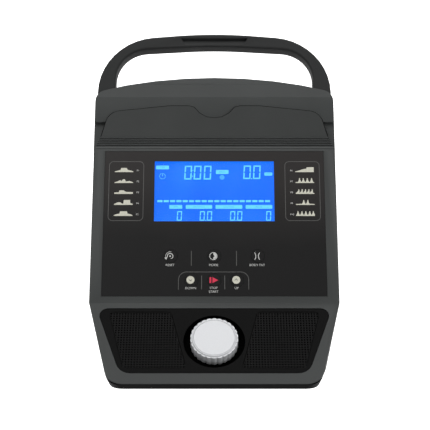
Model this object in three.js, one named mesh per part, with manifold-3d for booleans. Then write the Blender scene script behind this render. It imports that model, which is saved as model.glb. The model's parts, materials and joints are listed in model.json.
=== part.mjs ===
// Console of an elliptical trainer: a folded two-shell housing with a grab handle, a tablet rest,
// a backlit display, six membrane keys, two speakers and a push-and-turn dial.
//
// Millimetres. Each piece is drawn in the frame of the control face: x to the user's right, y into
// the console and z up the face, with z = 0 on the fold between the control face and the lower face.
// Pieces of the lower face use the same axes, turned by FOLD_ANGLE about the fold.
// The finished group leans back by LEAN and has its origin in the middle of the mast mounting plate.
import * as THREE from "three";
import { mergeVertices } from "three/addons/utils/BufferGeometryUtils.js";
import Module from "manifold-3d";

const wasm = await Module();
wasm.setup();

// ---- Driving dimensions -------------------------------------------------------------------------
const LEAN = 25; // degrees, control face back from vertical
const FOLD_ANGLE = 24; // degrees, lower face further back than the control face
const GAP = 0.3; // between pieces that touch
const WALL = 2.5; // moulded shell
const FAR = 400; // beyond every piece, for cutting tools

// Housing
const BODY_HALF = 121.8;
const FACE_TOP = 158.5; // top of the control face
const SHOULDER_DEPTH = 14; // depth of the step beside the tablet rest
const SIDE_DRAFT = 1.8; // widening of each side over that depth, at the top of the face
const SHOULDER_TOP = FACE_TOP + 33; // underside of the back plate
const PLATE_DEPTH = 10.3; // face of the back plate
const BODY_TOP = SHOULDER_TOP + 51.3; // crown of the back plate
const CROWN_RADIUS = 430;
const CORNER_RADIUS = 13;
const PLATE_BACK = 32; // thickness of the body behind the tablet rest
const BODY_BACK = 56; // thickness of the body behind the display
const BACK_SHELF = FACE_TOP - 6.5; // height at which the body starts to thin
const BACK_FOOT = -22; // height at which the back turns forward
const KEEL = [40, -62]; // lowest corner of the back, y and z
const LOWER_LENGTH = 90.6; // lower face, from the fold to its bottom edge
const LOWER_HALF = BODY_HALF - 23.2; // half width at that edge
const LOWER_EDGE = 9.4; // thickness of the body at that edge
const LOWER_DEEP = 90; // beyond the deepest point behind the lower face
const LOWER_TAPER = 0.2; // how much narrower, per mm of depth, the body is at that edge
const LOWER_CORNER = 12;
const LOWER_CORNER_GROWTH = 0.55; // rounder, per mm of depth
const FRONT_CORNER = 17; // the same corner of the front shell, so that the rear shell shows around it
const FLANK_TAPER = 0.24; // narrowing of the back below the fold, per mm of height
const PARTING_DEPTH = 24; // joint between the two shells
const PARTING_LIP = 1; // front shell at the bottom edge
const PARTING_TURN = -6; // height at which the joint turns forward

// Control overlay, display and keys
const OVERLAY = { side: 11.8, head: 2.7, base: 6.8, front: 0.1, thick: 0.5 }; // margins to the face's edges
const SCREEN = { width: 119.8, height: 62.8, head: 13.2 }; // head: below the top of the face
const LENS_MARGIN = 2.8; // lens beyond the visible screen
const LENS_THICK = 1.5;
const FRAME_RIM = 4; // display frame beyond the lens
const GLASS_THICK = 2.2;
const KEY_RADIUS = 6.5;
const KEY_PROUD = 0.3;
const KEY_TRAVEL = 0.6;
const KEY_STEM_RADIUS = 2.5;
const KEY_STEM_ROOT = 0.2; // stem inside the pad
const KEY_ROW_HIGH = 47;
const KEY_ROW_LOW = 22.9;
const KEYS = [
  ["key_reset", -42.8, KEY_ROW_HIGH],
  ["key_mode", 0, KEY_ROW_HIGH],
  ["key_body_fat", 42.8, KEY_ROW_HIGH],
  ["key_down", -22.4, KEY_ROW_LOW],
  ["key_start_stop", 0, KEY_ROW_LOW],
  ["key_up", 22.4, KEY_ROW_LOW],
];
const BOARD = { side: 29.8, head: 10.5, base: 8, depth: 12.3, thick: 1.6, screwInset: 6 }; // as the overlay
const BOARD_POST = { radius: 3, bore: 1.3, hole: 1.6 };
const BOARD_SCREW = { shank: 1, head: 2.4, length: 9 };
const CHIP = { size: 14, thick: 1.6, x: 34, drop: 20 }; // drop: below the middle of the board
const BEEPER = { radius: 6, height: 5.5, x: -34, drop: 16 };
const SWITCH_SIZE = 6;
const SWITCH_HEIGHT = 2.8;

// Tablet rest
const REST_PLATE = 2; // thickness of its back rest
const REST_FACE = PLATE_DEPTH - GAP - REST_PLATE;
const REST_TOP = SHOULDER_TOP + 17.5;
const REST_FOOT_HALF = BODY_HALF - 1.6;
const REST_SHOULDER = [BODY_HALF - 13, SHOULDER_TOP + 10.7]; // half width and height where the side turns in
const REST_CREST = 46; // half width where the top edge levels off
const REST_CORNER = 16;
const RIBS = 6;
const RIB_HEIGHT = 1.1;
const LEDGE_LIP = 1.2; // foot of the ribs behind the control face
const LEDGE_TOP = FACE_TOP + 16;
const NOTCH = { half: 20.5, depth: 13.2 };

// Handle
const HANDLE_SIDE = 2.2; // legs inside the housing's side
const HANDLE_WIDE = 18.6; // width of a leg
const HANDLE_RISE = 50.8; // above the crown of the back plate
const HANDLE_BOW = 10.3; // how far its crown rises above its corners
const HANDLE_ROOT = SHOULDER_TOP + 9.5;
const HANDLE_GRIP = { crown: 15.2, corner: 11 }; // height of the grip
const HANDLE_BEND = 62;
const HANDLE_BEND_INNER = 34;
const HANDLE_CROWN_RADIUS = 518;
const HANDLE_FRONT = PLATE_DEPTH + WALL + GAP;
const HANDLE_DEPTH = 16.1;
const HANDLE_EDGE = 2.4; // rounding of its edges
const HANDLE_WALL = 3;
const HANDLE_PLUG = HANDLE_ROOT + 28; // legs are solid below this height
const SCOOP = { drop: 6.4, height: 8.4, halfTop: 35.4, halfBottom: 29.6, depth: 4.2 }; // drop: below the crown

// Lower face: speaker panel, grilles, speakers
const PANEL = { head: 6.4, foot: 11.3, sideTop: 8, sideBottom: 11, depth: 0.5, thick: 4.3 }; // face margins
const PANEL_CORNERS = { top: 8, bottom: 14 };
const PANEL_FLANGE = 3;
const GRILLE_MARGIN = { head: 4, foot: 5.6, sideTop: 12.2, sideBottom: 2.8 }; // to the edges of the panel
const GRILLE_BESIDE_BOWL = { top: 12.7, bottom: -3 }; // inner corners, out from the bowl's radius
const GRILLE_FACE = 1;
const GRILLE_THICK = 2;
const GRILLE_CORNER = 4;
const SPEAKER = { radius: 26, flange: 1.8, height: 13, throat: 13.5, magnet: 12.5, magnetHeight: 6 };
const SPEAKER_BESIDE_BOWL = 8.8; // basket out from the bowl's radius
const SPEAKER_BELOW_GRILLE_TOP = 4.6; // top of the basket below the top of the grille

// Dial
const DIAL_M = 43.7; // distance of its axis below the fold
const DIAL_CLEARANCE = 6.6; // finger room between the dial and its bowl
const BOWL_DEPTH = 8;
const BOWL_WALL = 2;
const DIAL = { radius: 22.6, base: 6.4, top: -5.8, flutes: 26, fluteDepth: 0.9, rim: 1.2, wall: 2.6 };
const DIAL_CAP = { border: 3.1, thick: 1.2 }; // border: dial face outside the cap
const PRESS_TRAVEL = 0.5;
const SHAFT_RADIUS = 3;
const BUSHING_RADIUS = 4.5;
const NUT = { radius: 6.6, thick: 2.2, beyond: 0.6 }; // beyond: bushing past the nut
const ENCODER = { width: 14, height: 12.5, length: 6.8 };

// Back: mounting plate, cable grommet, screws
const MOUNT = { width: 100, height: 80, thick: 3.2, z: 64, proud: 1, boltInset: 10, bolt: 2.5 };
const MOUNT_PAD = 4; // rear cover around and behind the plate
const GROMMET = { clear: 6, bore: 6.5, hole: 9, flange: 12, lip: 1.8 }; // clear: flange below the pad
const SCREW = { shank: 1.7, head: 3.5, headHeight: 2.4 };
const BOSS_RADIUS = 4.2;
const WELL_RADIUS = 4.3;
const COVER_SCREW = { side: 15.8, below: 20, above: 38, length: 17 }; // from the side, the shelf and the foot
const HANDLE_SCREW = { above: 8, length: 12 }; // above the root of the handle
const VENTS = { count: 6, pitch: 6, length: 46, slot: 2.6 };

// ---- Derived places -----------------------------------------------------------------------------
const FOLD = THREE.MathUtils.degToRad(FOLD_ANGLE);
const OVERLAY_BACK = OVERLAY.front + OVERLAY.thick;
const OVERLAY_SEAT = OVERLAY_BACK + GAP;
const OVERLAY_WIDTH = 2 * (BODY_HALF - OVERLAY.side);
const OVERLAY_HEIGHT = FACE_TOP - OVERLAY.head - OVERLAY.base;
const OVERLAY_MID = OVERLAY.base + OVERLAY_HEIGHT / 2;
const SCREEN_Z = FACE_TOP - SCREEN.head - SCREEN.height / 2;
const BOARD_WIDTH = 2 * (BODY_HALF - BOARD.side);
const BOARD_HEIGHT = FACE_TOP - BOARD.head - BOARD.base;
const BOARD_Z = BOARD.base + BOARD_HEIGHT / 2;
const LENS_WIDTH = SCREEN.width + 2 * LENS_MARGIN;
const LENS_HEIGHT = SCREEN.height + 2 * LENS_MARGIN;
const FRAME_FRONT = WALL + GAP;
const HANDLE_BACK = HANDLE_FRONT + HANDLE_DEPTH;
const HANDLE_OUTER = BODY_HALF + SIDE_DRAFT - HANDLE_SIDE;
const HANDLE_INNER = HANDLE_OUTER - HANDLE_WIDE;
const HANDLE_CROWN = BODY_TOP + HANDLE_RISE;
const SCOOP_TOP = HANDLE_CROWN - SCOOP.drop;
const SCOOP_BOTTOM = SCOOP_TOP - SCOOP.height;
const BOWL_RADIUS = DIAL.radius + DIAL_CLEARANCE;
const PANEL_TOP = PANEL.head;
const PANEL_BOTTOM = LOWER_LENGTH - PANEL.foot;
const PANEL_HALF_TOP = BODY_HALF - PANEL.sideTop;
const PANEL_HALF_BOTTOM = LOWER_HALF - PANEL.sideBottom;
const GRILLE_TOP = PANEL_TOP + GRILLE_MARGIN.head;
const GRILLE_BOTTOM = PANEL_BOTTOM - GRILLE_MARGIN.foot;
const SPEAKER_X = BOWL_RADIUS + SPEAKER_BESIDE_BOWL + SPEAKER.radius;
const SPEAKER_M = GRILLE_TOP + SPEAKER_BELOW_GRILLE_TOP + SPEAKER.radius;
const MOUNT_FACE = BODY_BACK + MOUNT.proud;
const SCREW_X = BODY_HALF - COVER_SCREW.side;
const COVER_SCREWS = [
  ["cover_screw_top_left", -SCREW_X, BACK_SHELF - COVER_SCREW.below],
  ["cover_screw_top_right", SCREW_X, BACK_SHELF - COVER_SCREW.below],
  ["cover_screw_low_left", -SCREW_X, BACK_FOOT + COVER_SCREW.above],
  ["cover_screw_low_right", SCREW_X, BACK_FOOT + COVER_SCREW.above],
];
const HANDLE_SCREW_X = (HANDLE_OUTER + HANDLE_INNER) / 2;
const HANDLE_SCREW_Z = HANDLE_ROOT + HANDLE_SCREW.above;
const GROMMET_Z = MOUNT.z - MOUNT.height / 2 - MOUNT_PAD - GROMMET.clear - GROMMET.flange;
const VENTS_Z = (MOUNT.z + MOUNT.height / 2 + MOUNT_PAD + BACK_SHELF) / 2;

// ---- Outlines -----------------------------------------------------------------------------------
// Moves each side of an anticlockwise polygon inwards by distance.
function insetPolygon(points, distance) {
  const count = points.length;
  return points.map((point, i) => {
    const before = points[(i + count - 1) % count];
    const after = points[(i + 1) % count];
    const a = new THREE.Vector2(point[0] - before[0], point[1] - before[1]).normalize();
    const b = new THREE.Vector2(after[0] - point[0], after[1] - point[1]).normalize();
    const scale = distance / (1 + a.dot(b));
    return [point[0] + scale * (-a.y - b.y), point[1] + scale * (a.x + b.x), point[2]];
  });
}

// Rounds each corner [x, y, radius] of a polygon with an arc; a corner with no radius stays sharp.
function rounded(points, steps = 6) {
  const count = points.length;
  return points.flatMap(([x, y, radius], i) => {
    if (!radius) return [new THREE.Vector2(x, y)];
    const corner = new THREE.Vector2(x, y);
    const toBefore = new THREE.Vector2(...points[(i + count - 1) % count].slice(0, 2)).sub(corner).normalize();
    const toAfter = new THREE.Vector2(...points[(i + 1) % count].slice(0, 2)).sub(corner).normalize();
    const half = Math.acos(THREE.MathUtils.clamp(toBefore.dot(toAfter), -1, 1)) / 2;
    const reach = radius / Math.tan(half);
    const centre = corner.clone().add(
      toBefore.clone().add(toAfter).normalize().multiplyScalar(radius / Math.sin(half)),
    );
    const start = corner.clone().addScaledVector(toBefore, reach).sub(centre).angle();
    const end = corner.clone().addScaledVector(toAfter, reach).sub(centre).angle();
    const sweep = THREE.MathUtils.euclideanModulo(end - start + Math.PI, 2 * Math.PI) - Math.PI;
    return Array.from({ length: steps + 1 }, (_, k) => {
      const angle = start + (sweep * k) / steps;
      return new THREE.Vector2(centre.x + radius * Math.cos(angle), centre.y + radius * Math.sin(angle));
    });
  });
}

// Mirrors the right-hand half of an outline, given from bottom to top, into a whole outline.
function mirrored(half) {
  return [...half, ...half.filter((p) => p[0] > 0).reverse().map(([x, y, r]) => [-x, y, r])];
}

function rectangle(width, height, x = 0, z = 0) {
  const [w, h] = [width / 2, height / 2];
  return [[x - w, z - h], [x + w, z - h], [x + w, z + h], [x - w, z + h]];
}

function circle(radius, x = 0, z = 0, sides = 24) {
  return Array.from({ length: sides }, (_, i) => {
    const angle = (2 * Math.PI * (i + 0.5)) / sides;
    return [x + radius * Math.cos(angle), z + radius * Math.sin(angle)];
  });
}

// ---- Solids -------------------------------------------------------------------------------------
function solidOf(geometry) {
  const bare = geometry.clone();
  bare.deleteAttribute("normal");
  bare.deleteAttribute("uv");
  const merged = mergeVertices(bare, 1e-4);
  const corners = Array.from(merged.index.array);
  const triangles = corners.filter((_, i) => {
    const [a, b, c] = corners.slice(i - (i % 3), i - (i % 3) + 3);
    return a !== b && b !== c && c !== a;
  });
  return new wasm.Manifold(new wasm.Mesh({
    numProp: 3,
    vertProperties: merged.attributes.position.array,
    triVerts: new Uint32Array(triangles),
  }));
}

function geometryOf(solid) {
  const mesh = solid.getMesh();
  return new THREE.BufferGeometry()
    .setAttribute("position", new THREE.BufferAttribute(mesh.vertProperties, 3))
    .setIndex(new THREE.BufferAttribute(mesh.triVerts, 1))
    .toNonIndexed();
}

function shapeOf(points) {
  const corners = points[0].isVector2 ? points : points.map(([x, y]) => new THREE.Vector2(x, y));
  return new THREE.Shape(corners);
}

// A slab of an outline drawn in x and z, from depth front to depth back, with optional rounded edges.
function slab(points, front, back, edge = 0) {
  const geometry = new THREE.ExtrudeGeometry(shapeOf(points), {
    depth: back - front - 2 * edge,
    bevelEnabled: edge > 0,
    bevelSize: edge,
    bevelOffset: -edge,
    bevelThickness: edge,
    bevelSegments: 2,
  });
  geometry.translate(0, 0, edge);
  geometry.rotateX(Math.PI / 2);
  geometry.translate(0, back, 0);
  return solidOf(geometry);
}

// A slab whose outline changes evenly from front to back; both outlines have as many points.
function loft(frontPoints, backPoints, front, back) {
  const flat = shapeOf(frontPoints).getPoints();
  const count = flat.length;
  const corners = [
    ...frontPoints.map((p) => new THREE.Vector3(p.x, front, p.y)),
    ...backPoints.map((p) => new THREE.Vector3(p.x, back, p.y)),
  ];
  const cap = THREE.ShapeUtils.triangulateShape(flat, []);
  const faces = cap.flatMap(([a, b, c]) => [a, b, c, count + a, count + c, count + b]);
  for (let i = 0; i < count; i += 1) {
    const j = (i + 1) % count;
    faces.push(i, count + i, count + j, i, count + j, j);
  }
  return solidOf(new THREE.BufferGeometry().setFromPoints(corners).setIndex(faces));
}

// A bar along x with a profile drawn in y and z.
function bar(profile, half) {
  const geometry = new THREE.ExtrudeGeometry(shapeOf(profile), { depth: 2 * half, bevelEnabled: false });
  geometry.translate(0, 0, -half);
  const turn = new THREE.Matrix4().makeBasis(
    new THREE.Vector3(0, 1, 0),
    new THREE.Vector3(0, 0, 1),
    new THREE.Vector3(1, 0, 0),
  );
  return solidOf(geometry.applyMatrix4(turn));
}

function disc(radius, front, back, x = 0, z = 0, sides = 24) {
  return slab(circle(radius, x, z, sides), front, back);
}

// A turned piece about the y axis. The profile holds [radius, depth] pairs.
function turned(profile, sides = 32) {
  const geometry = new THREE.LatheGeometry(profile.map(([r, y]) => new THREE.Vector2(r, y)), sides);
  const solid = solidOf(geometry);
  if (solid.volume() > 0) return solid;
  return solidOf(new THREE.LatheGeometry(profile.map(([r, y]) => new THREE.Vector2(r, y)).reverse(), sides));
}

function join(...solids) {
  return solids.reduce((a, b) => a.add(b));
}

function cut(solid, ...tools) {
  return tools.reduce((a, b) => a.subtract(b), solid);
}

// Brings a solid drawn on the lower face into the frame of the control face.
function fromLower(solid) {
  return solid.rotate([-FOLD_ANGLE, 0, 0]);
}

// A point of the lower face, given by its depth and its distance below the fold, as y and z.
function lowerPoint(depth, m) {
  return [depth * Math.cos(FOLD) - m * Math.sin(FOLD), -depth * Math.sin(FOLD) - m * Math.cos(FOLD)];
}

// ---- Housing ------------------------------------------------------------------------------------
function bodyProfile() {
  return [
    lowerPoint(0, LOWER_LENGTH),
    lowerPoint(LOWER_EDGE, LOWER_LENGTH),
    KEEL,
    [BODY_BACK, BACK_FOOT],
    [BODY_BACK, BACK_SHELF],
    [PLATE_BACK, BACK_SHELF + (BODY_BACK - PLATE_BACK)],
    [PLATE_BACK, BODY_TOP + 1],
    [PLATE_DEPTH + 6, BODY_TOP + 1],
    [PLATE_DEPTH + 2.5, BODY_TOP - 9],
    [PLATE_DEPTH, BODY_TOP - 24],
    [PLATE_DEPTH, SHOULDER_TOP],
    [SHOULDER_DEPTH, SHOULDER_TOP],
    [SHOULDER_DEPTH, FACE_TOP],
    [0, FACE_TOP],
    [0, 0],
  ];
}

function crownHeight(x, inset = 0) {
  return BODY_TOP - CROWN_RADIUS + Math.sqrt((CROWN_RADIUS - inset) ** 2 - x ** 2);
}

// The right-hand half of the body above the fold, widened by the draft of its sides.
function aboveFold(inset, draft) {
  const half = BODY_HALF - inset;
  const wide = half + draft;
  const crown = [0.75, 0.5, 0.25, 0].map((share) => [wide * share, crownHeight(wide * share, inset)]);
  return [[half, 0], [wide, FACE_TOP], [wide, crownHeight(wide, inset), CORNER_RADIUS - inset], ...crown];
}

function draftedSides(inset) {
  const foot = [BODY_HALF - inset - FLANK_TAPER * FAR, -FAR];
  const narrow = rounded(mirrored(aboveFold(inset, 0)));
  const wide = rounded(mirrored(aboveFold(inset, SIDE_DRAFT)));
  return join(
    slab(rounded(mirrored([foot, ...aboveFold(inset, 0)])), -FAR, FAR),
    loft(narrow, wide, 0, SHOULDER_DEPTH),
    slab(wide, SHOULDER_DEPTH, FAR),
  );
}

function lowerOutline(inset, depth) {
  const half = LOWER_HALF - LOWER_TAPER * depth;
  const corner = LOWER_CORNER + LOWER_CORNER_GROWTH * depth - inset;
  const sharp = [
    [-half, -LOWER_LENGTH, corner],
    [half, -LOWER_LENGTH, corner],
    [BODY_HALF, 0],
    [BODY_HALF, FAR],
    [-BODY_HALF, FAR],
    [-BODY_HALF, 0],
  ];
  return rounded(insetPolygon(sharp, inset));
}

// The body's outer form, or its inside when inset by the wall.
function bodyForm(inset) {
  const bulk = bar(insetPolygon(bodyProfile(), inset), BODY_HALF + SIDE_DRAFT);
  const belowFold = slab(rectangle(2 * FAR, FAR, 0, -FAR / 2), -FAR, LOWER_DEEP - 1);
  const narrowing = loft(lowerOutline(inset, -1), lowerOutline(inset, LOWER_DEEP), -1, LOWER_DEEP);
  const lowerWaste = fromLower(belowFold.subtract(narrowing));
  return bulk.intersect(draftedSides(inset)).subtract(lowerWaste);
}

// The space in front of the joint between the shells, moved back by an offset.
function inFrontOfParting(offset) {
  const edge = lowerPoint(PARTING_LIP + offset, LOWER_LENGTH);
  const beyond = lowerPoint(PARTING_LIP + offset, LOWER_LENGTH + FAR);
  const depth = PARTING_DEPTH + offset;
  return bar([[-FAR, FAR], [-FAR, beyond[1]], beyond, edge, [depth, PARTING_TURN], [depth, FAR]], FAR);
}

// Everything but the two lowest corners of the front shell.
function frontCorners() {
  const sharp = [
    [-LOWER_HALF, -LOWER_LENGTH, FRONT_CORNER],
    [LOWER_HALF, -LOWER_LENGTH, FRONT_CORNER],
    [BODY_HALF, 0],
    [FAR, 0],
    [FAR, FAR],
    [-FAR, FAR],
    [-FAR, 0],
    [-BODY_HALF, 0],
  ];
  return fromLower(slab(rounded(sharp), -FAR, FAR));
}

function handleOutline(growth = 0) {
  const g = growth;
  const corner = HANDLE_CROWN - HANDLE_BOW;
  const [underCrown, underCorner] = [HANDLE_CROWN - HANDLE_GRIP.crown, corner - HANDLE_GRIP.corner];
  const outer = [
    [HANDLE_OUTER + g, HANDLE_ROOT - g],
    [HANDLE_OUTER + g, corner + g, HANDLE_BEND + g],
    [0, HANDLE_CROWN + g, HANDLE_CROWN_RADIUS],
    [-HANDLE_OUTER - g, corner + g, HANDLE_BEND + g],
    [-HANDLE_OUTER - g, HANDLE_ROOT - g],
  ];
  const inner = [
    [-HANDLE_INNER + g, HANDLE_ROOT - g],
    [-HANDLE_INNER + g, underCorner - g, HANDLE_BEND_INNER - g],
    [0, underCrown - g, HANDLE_CROWN_RADIUS],
    [HANDLE_INNER - g, underCorner - g, HANDLE_BEND_INNER - g],
    [HANDLE_INNER - g, HANDLE_ROOT - g],
  ];
  return rounded([...outer, ...inner], 10);
}

function panelOutline(growth = 0) {
  const sharp = [
    [-PANEL_HALF_BOTTOM, -PANEL_BOTTOM, PANEL_CORNERS.bottom + growth],
    [PANEL_HALF_BOTTOM, -PANEL_BOTTOM, PANEL_CORNERS.bottom + growth],
    [PANEL_HALF_TOP, -PANEL_TOP, PANEL_CORNERS.top + growth],
    [-PANEL_HALF_TOP, -PANEL_TOP, PANEL_CORNERS.top + growth],
  ];
  return rounded(insetPolygon(sharp, -growth), 5);
}

const shell = bodyForm(0).subtract(bodyForm(WALL));
const handlePassage = slab(handleOutline(GAP), HANDLE_FRONT - GAP, HANDLE_BACK + GAP);
const boardPosts = [-1, 1].flatMap((sx) => [-1, 1].map((sz) => [
  sx * (BOARD_WIDTH / 2 - BOARD.screwInset),
  BOARD_Z + sz * (BOARD_HEIGHT / 2 - BOARD.screwInset),
]));

function frontHousing() {
  const recess = slab(
    rectangle(OVERLAY_WIDTH + 2 * GAP, OVERLAY_HEIGHT + 2 * GAP, 0, OVERLAY_MID),
    -FAR,
    OVERLAY_SEAT,
  );
  const window = slab(rectangle(LENS_WIDTH + 2 * GAP, LENS_HEIGHT + 2 * GAP, 0, SCREEN_Z), -FAR, WALL + 1);
  const keyHoles = KEYS.map(([, x, z]) => disc(KEY_RADIUS + 2 * GAP, -FAR, WALL + 1, x, z));
  const panelHole = fromLower(slab(panelOutline(GAP), -FAR, WALL + 0.2));
  const bosses = COVER_SCREWS.map(([, x, z]) =>
    disc(BOSS_RADIUS, WALL - 0.5, PARTING_DEPTH, x, z, 16).subtract(
      disc(SCREW.shank + GAP, WALL + 5, FAR, x, z, 12),
    ));
  const posts = boardPosts.map(([x, z]) =>
    disc(BOARD_POST.radius, WALL - 0.5, BOARD.depth - GAP, x, z, 12).subtract(
      disc(BOARD_POST.bore, WALL + 1, FAR, x, z, 8),
    ));
  const whole = shell.intersect(inFrontOfParting(0)).intersect(frontCorners());
  const body = cut(whole, recess, window, ...keyHoles, panelHole, handlePassage);
  return join(body, ...bosses, ...posts);
}

function rearCover() {
  const pad = slab(
    rectangle(MOUNT.width + 2 * MOUNT_PAD, MOUNT.height + 2 * MOUNT_PAD, 0, MOUNT.z),
    MOUNT_FACE - MOUNT.thick - GAP - MOUNT_PAD,
    BODY_BACK - 0.5,
  );
  const pocket = slab(
    rectangle(MOUNT.width + 2 * GAP, MOUNT.height + 2 * GAP, 0, MOUNT.z),
    MOUNT_FACE - MOUNT.thick - GAP,
    FAR,
  );
  const boltHoles = mountBolts.map(([x, z]) => disc(MOUNT.bolt + 1, 0, FAR, x, z, 16));
  const wells = COVER_SCREWS.map(([, x, z]) =>
    disc(WELL_RADIUS + WALL, PARTING_DEPTH + GAP, BODY_BACK - 0.5, x, z, 20));
  const wellBores = COVER_SCREWS.flatMap(([, x, z]) => [
    disc(WELL_RADIUS, PARTING_DEPTH + GAP + WALL, FAR, x, z, 20),
    disc(SCREW.shank + GAP, 0, FAR, x, z, 12),
  ]);
  const handleHoles = [-1, 1].map((s) =>
    disc(SCREW.shank + GAP, 0, FAR, s * HANDLE_SCREW_X, HANDLE_SCREW_Z, 12));
  const cable = disc(GROMMET.hole, 0, FAR, 0, GROMMET_Z);
  const vents = Array.from({ length: VENTS.count }, (_, i) => slab(
    rectangle(VENTS.length, VENTS.slot, 0, VENTS_Z + (i - (VENTS.count - 1) / 2) * VENTS.pitch),
    BODY_BACK - WALL - 1,
    FAR,
  ));
  const behind = shell.subtract(inFrontOfParting(GAP));
  const body = join(behind, pad, ...wells.map((well) => well.intersect(bodyForm(WALL / 2))));
  return cut(body, pocket, ...boltHoles, ...wellBores, ...handleHoles, cable, ...vents, handlePassage);
}

// ---- Tablet rest --------------------------------------------------------------------------------
function tabletRest() {
  const ledgeFoot = FACE_TOP + GAP;
  const rise = LEDGE_TOP - ledgeFoot - 1;
  const onLedge = (share, height) => [
    LEDGE_LIP + (REST_FACE - LEDGE_LIP) * share - height,
    ledgeFoot + 1 + rise * share,
  ];
  const ribs = Array.from({ length: RIBS }, (_, i) => [
    onLedge((i + 0.3) / RIBS, RIB_HEIGHT),
    onLedge((i + 0.7) / RIBS, RIB_HEIGHT),
    onLedge((i + 1) / RIBS, 0),
  ]).flat();
  const profile = [
    [0.2, ledgeFoot],
    [SHOULDER_DEPTH - GAP, ledgeFoot],
    [SHOULDER_DEPTH - GAP, ledgeFoot + WALL],
    [WALL + 2, ledgeFoot + WALL],
    [REST_FACE + REST_PLATE, LEDGE_TOP + 1],
    [REST_FACE + REST_PLATE, FAR],
    [REST_FACE, FAR],
    ...ribs.reverse(),
    [0.2, ledgeFoot + 1],
  ];
  const notch = [
    [NOTCH.half + 6, REST_TOP],
    [NOTCH.half, REST_TOP - 1.6],
    [NOTCH.half * 0.72, REST_TOP - NOTCH.depth * 0.62],
    [NOTCH.half * 0.36, REST_TOP - NOTCH.depth * 0.93],
  ];
  const sharp = [
    [REST_FOOT_HALF, 0],
    [REST_FOOT_HALF, ledgeFoot + 2],
    [...REST_SHOULDER, REST_CORNER],
    [REST_CREST, REST_TOP, 60],
    ...notch,
    [0, REST_TOP - NOTCH.depth],
  ];
  return bar(profile, REST_FOOT_HALF).intersect(slab(rounded(mirrored(sharp)), -FAR, FAR));
}

// ---- Handle -------------------------------------------------------------------------------------
function handleChannel(margin, front, back) {
  const aboveLegs = slab(rectangle(2 * FAR, FAR, 0, HANDLE_PLUG + margin + FAR / 2), -FAR, FAR);
  return slab(handleOutline(-HANDLE_WALL - margin), front, back).intersect(aboveLegs);
}

function handleFront() {
  const scoop = bar(
    [
      [HANDLE_FRONT - 1, SCOOP_TOP],
      [HANDLE_FRONT - 1, SCOOP_BOTTOM - 1.3],
      [HANDLE_FRONT, SCOOP_BOTTOM],
      [HANDLE_FRONT + SCOOP.depth, SCOOP_TOP - 1],
      [HANDLE_FRONT + SCOOP.depth, SCOOP_TOP],
    ],
    SCOOP.halfTop,
  );
  const scoopSides = slab(
    [
      [-SCOOP.halfBottom, SCOOP_BOTTOM - 2],
      [SCOOP.halfBottom, SCOOP_BOTTOM - 2],
      [SCOOP.halfTop, SCOOP_TOP],
      [-SCOOP.halfTop, SCOOP_TOP],
    ],
    -FAR,
    FAR,
  );
  const backing = slab(
    rectangle(2 * SCOOP.halfTop + 4, SCOOP.height + 3, 0, SCOOP_TOP - SCOOP.height / 2),
    HANDLE_FRONT + HANDLE_WALL - 0.5,
    HANDLE_FRONT + SCOOP.depth + 2,
  );
  const outer = slab(handleOutline(), HANDLE_FRONT, HANDLE_BACK, HANDLE_EDGE);
  const hollow = cut(outer, handleChannel(0, HANDLE_FRONT + HANDLE_WALL, FAR));
  const pilots = [-1, 1].map((s) =>
    disc(SCREW.shank + GAP, HANDLE_FRONT + 4, FAR, s * HANDLE_SCREW_X, HANDLE_SCREW_Z, 12));
  return cut(join(hollow, backing.intersect(outer)), scoop.intersect(scoopSides), ...pilots);
}

function handleBack() {
  return handleChannel(GAP, HANDLE_BACK - HANDLE_WALL, HANDLE_BACK - 0.4);
}

// ---- Control overlay, display and board ---------------------------------------------------------
function controlOverlay() {
  const sheet = slab(rectangle(OVERLAY_WIDTH, OVERLAY_HEIGHT, 0, OVERLAY_MID), OVERLAY.front, OVERLAY_BACK);
  const window = slab(rectangle(SCREEN.width, SCREEN.height, 0, SCREEN_Z), -FAR, FAR);
  const keyHoles = KEYS.map(([, x, z]) => disc(KEY_RADIUS + GAP, -FAR, FAR, x, z));
  return cut(sheet, window, ...keyHoles);
}

function screenSlab(margin, front, thick) {
  const outline = rectangle(SCREEN.width + 2 * margin, SCREEN.height + 2 * margin, 0, SCREEN_Z);
  return slab(outline, front, front + thick);
}

function displayFrame() {
  const depth = BOARD.depth - GAP - FRAME_FRONT;
  return screenSlab(LENS_MARGIN + FRAME_RIM, FRAME_FRONT, depth).subtract(
    screenSlab(LENS_MARGIN, FRAME_FRONT - 1, depth + 2),
  );
}

const switchTop = BOARD.depth - GAP - SWITCH_HEIGHT;

function key(x, z) {
  const pad = disc(KEY_RADIUS, OVERLAY.front - KEY_PROUD, OVERLAY_BACK, x, z);
  const stem = disc(KEY_STEM_RADIUS, OVERLAY_BACK - KEY_STEM_ROOT, switchTop - GAP - KEY_TRAVEL, x, z, 12);
  return pad.add(stem);
}

function mainBoard() {
  const board = slab(rectangle(BOARD_WIDTH, BOARD_HEIGHT, 0, BOARD_Z), BOARD.depth, BOARD.depth + BOARD.thick);
  return cut(board, ...boardPosts.map(([x, z]) => disc(BOARD_POST.hole, -FAR, FAR, x, z, 12)));
}

function screw(x, z, seat, length, shank = SCREW.shank, head = SCREW.head) {
  return disc(head, seat, seat + SCREW.headHeight, x, z, 16).add(
    disc(shank, seat - length, seat + 0.5, x, z, 10),
  );
}

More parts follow.
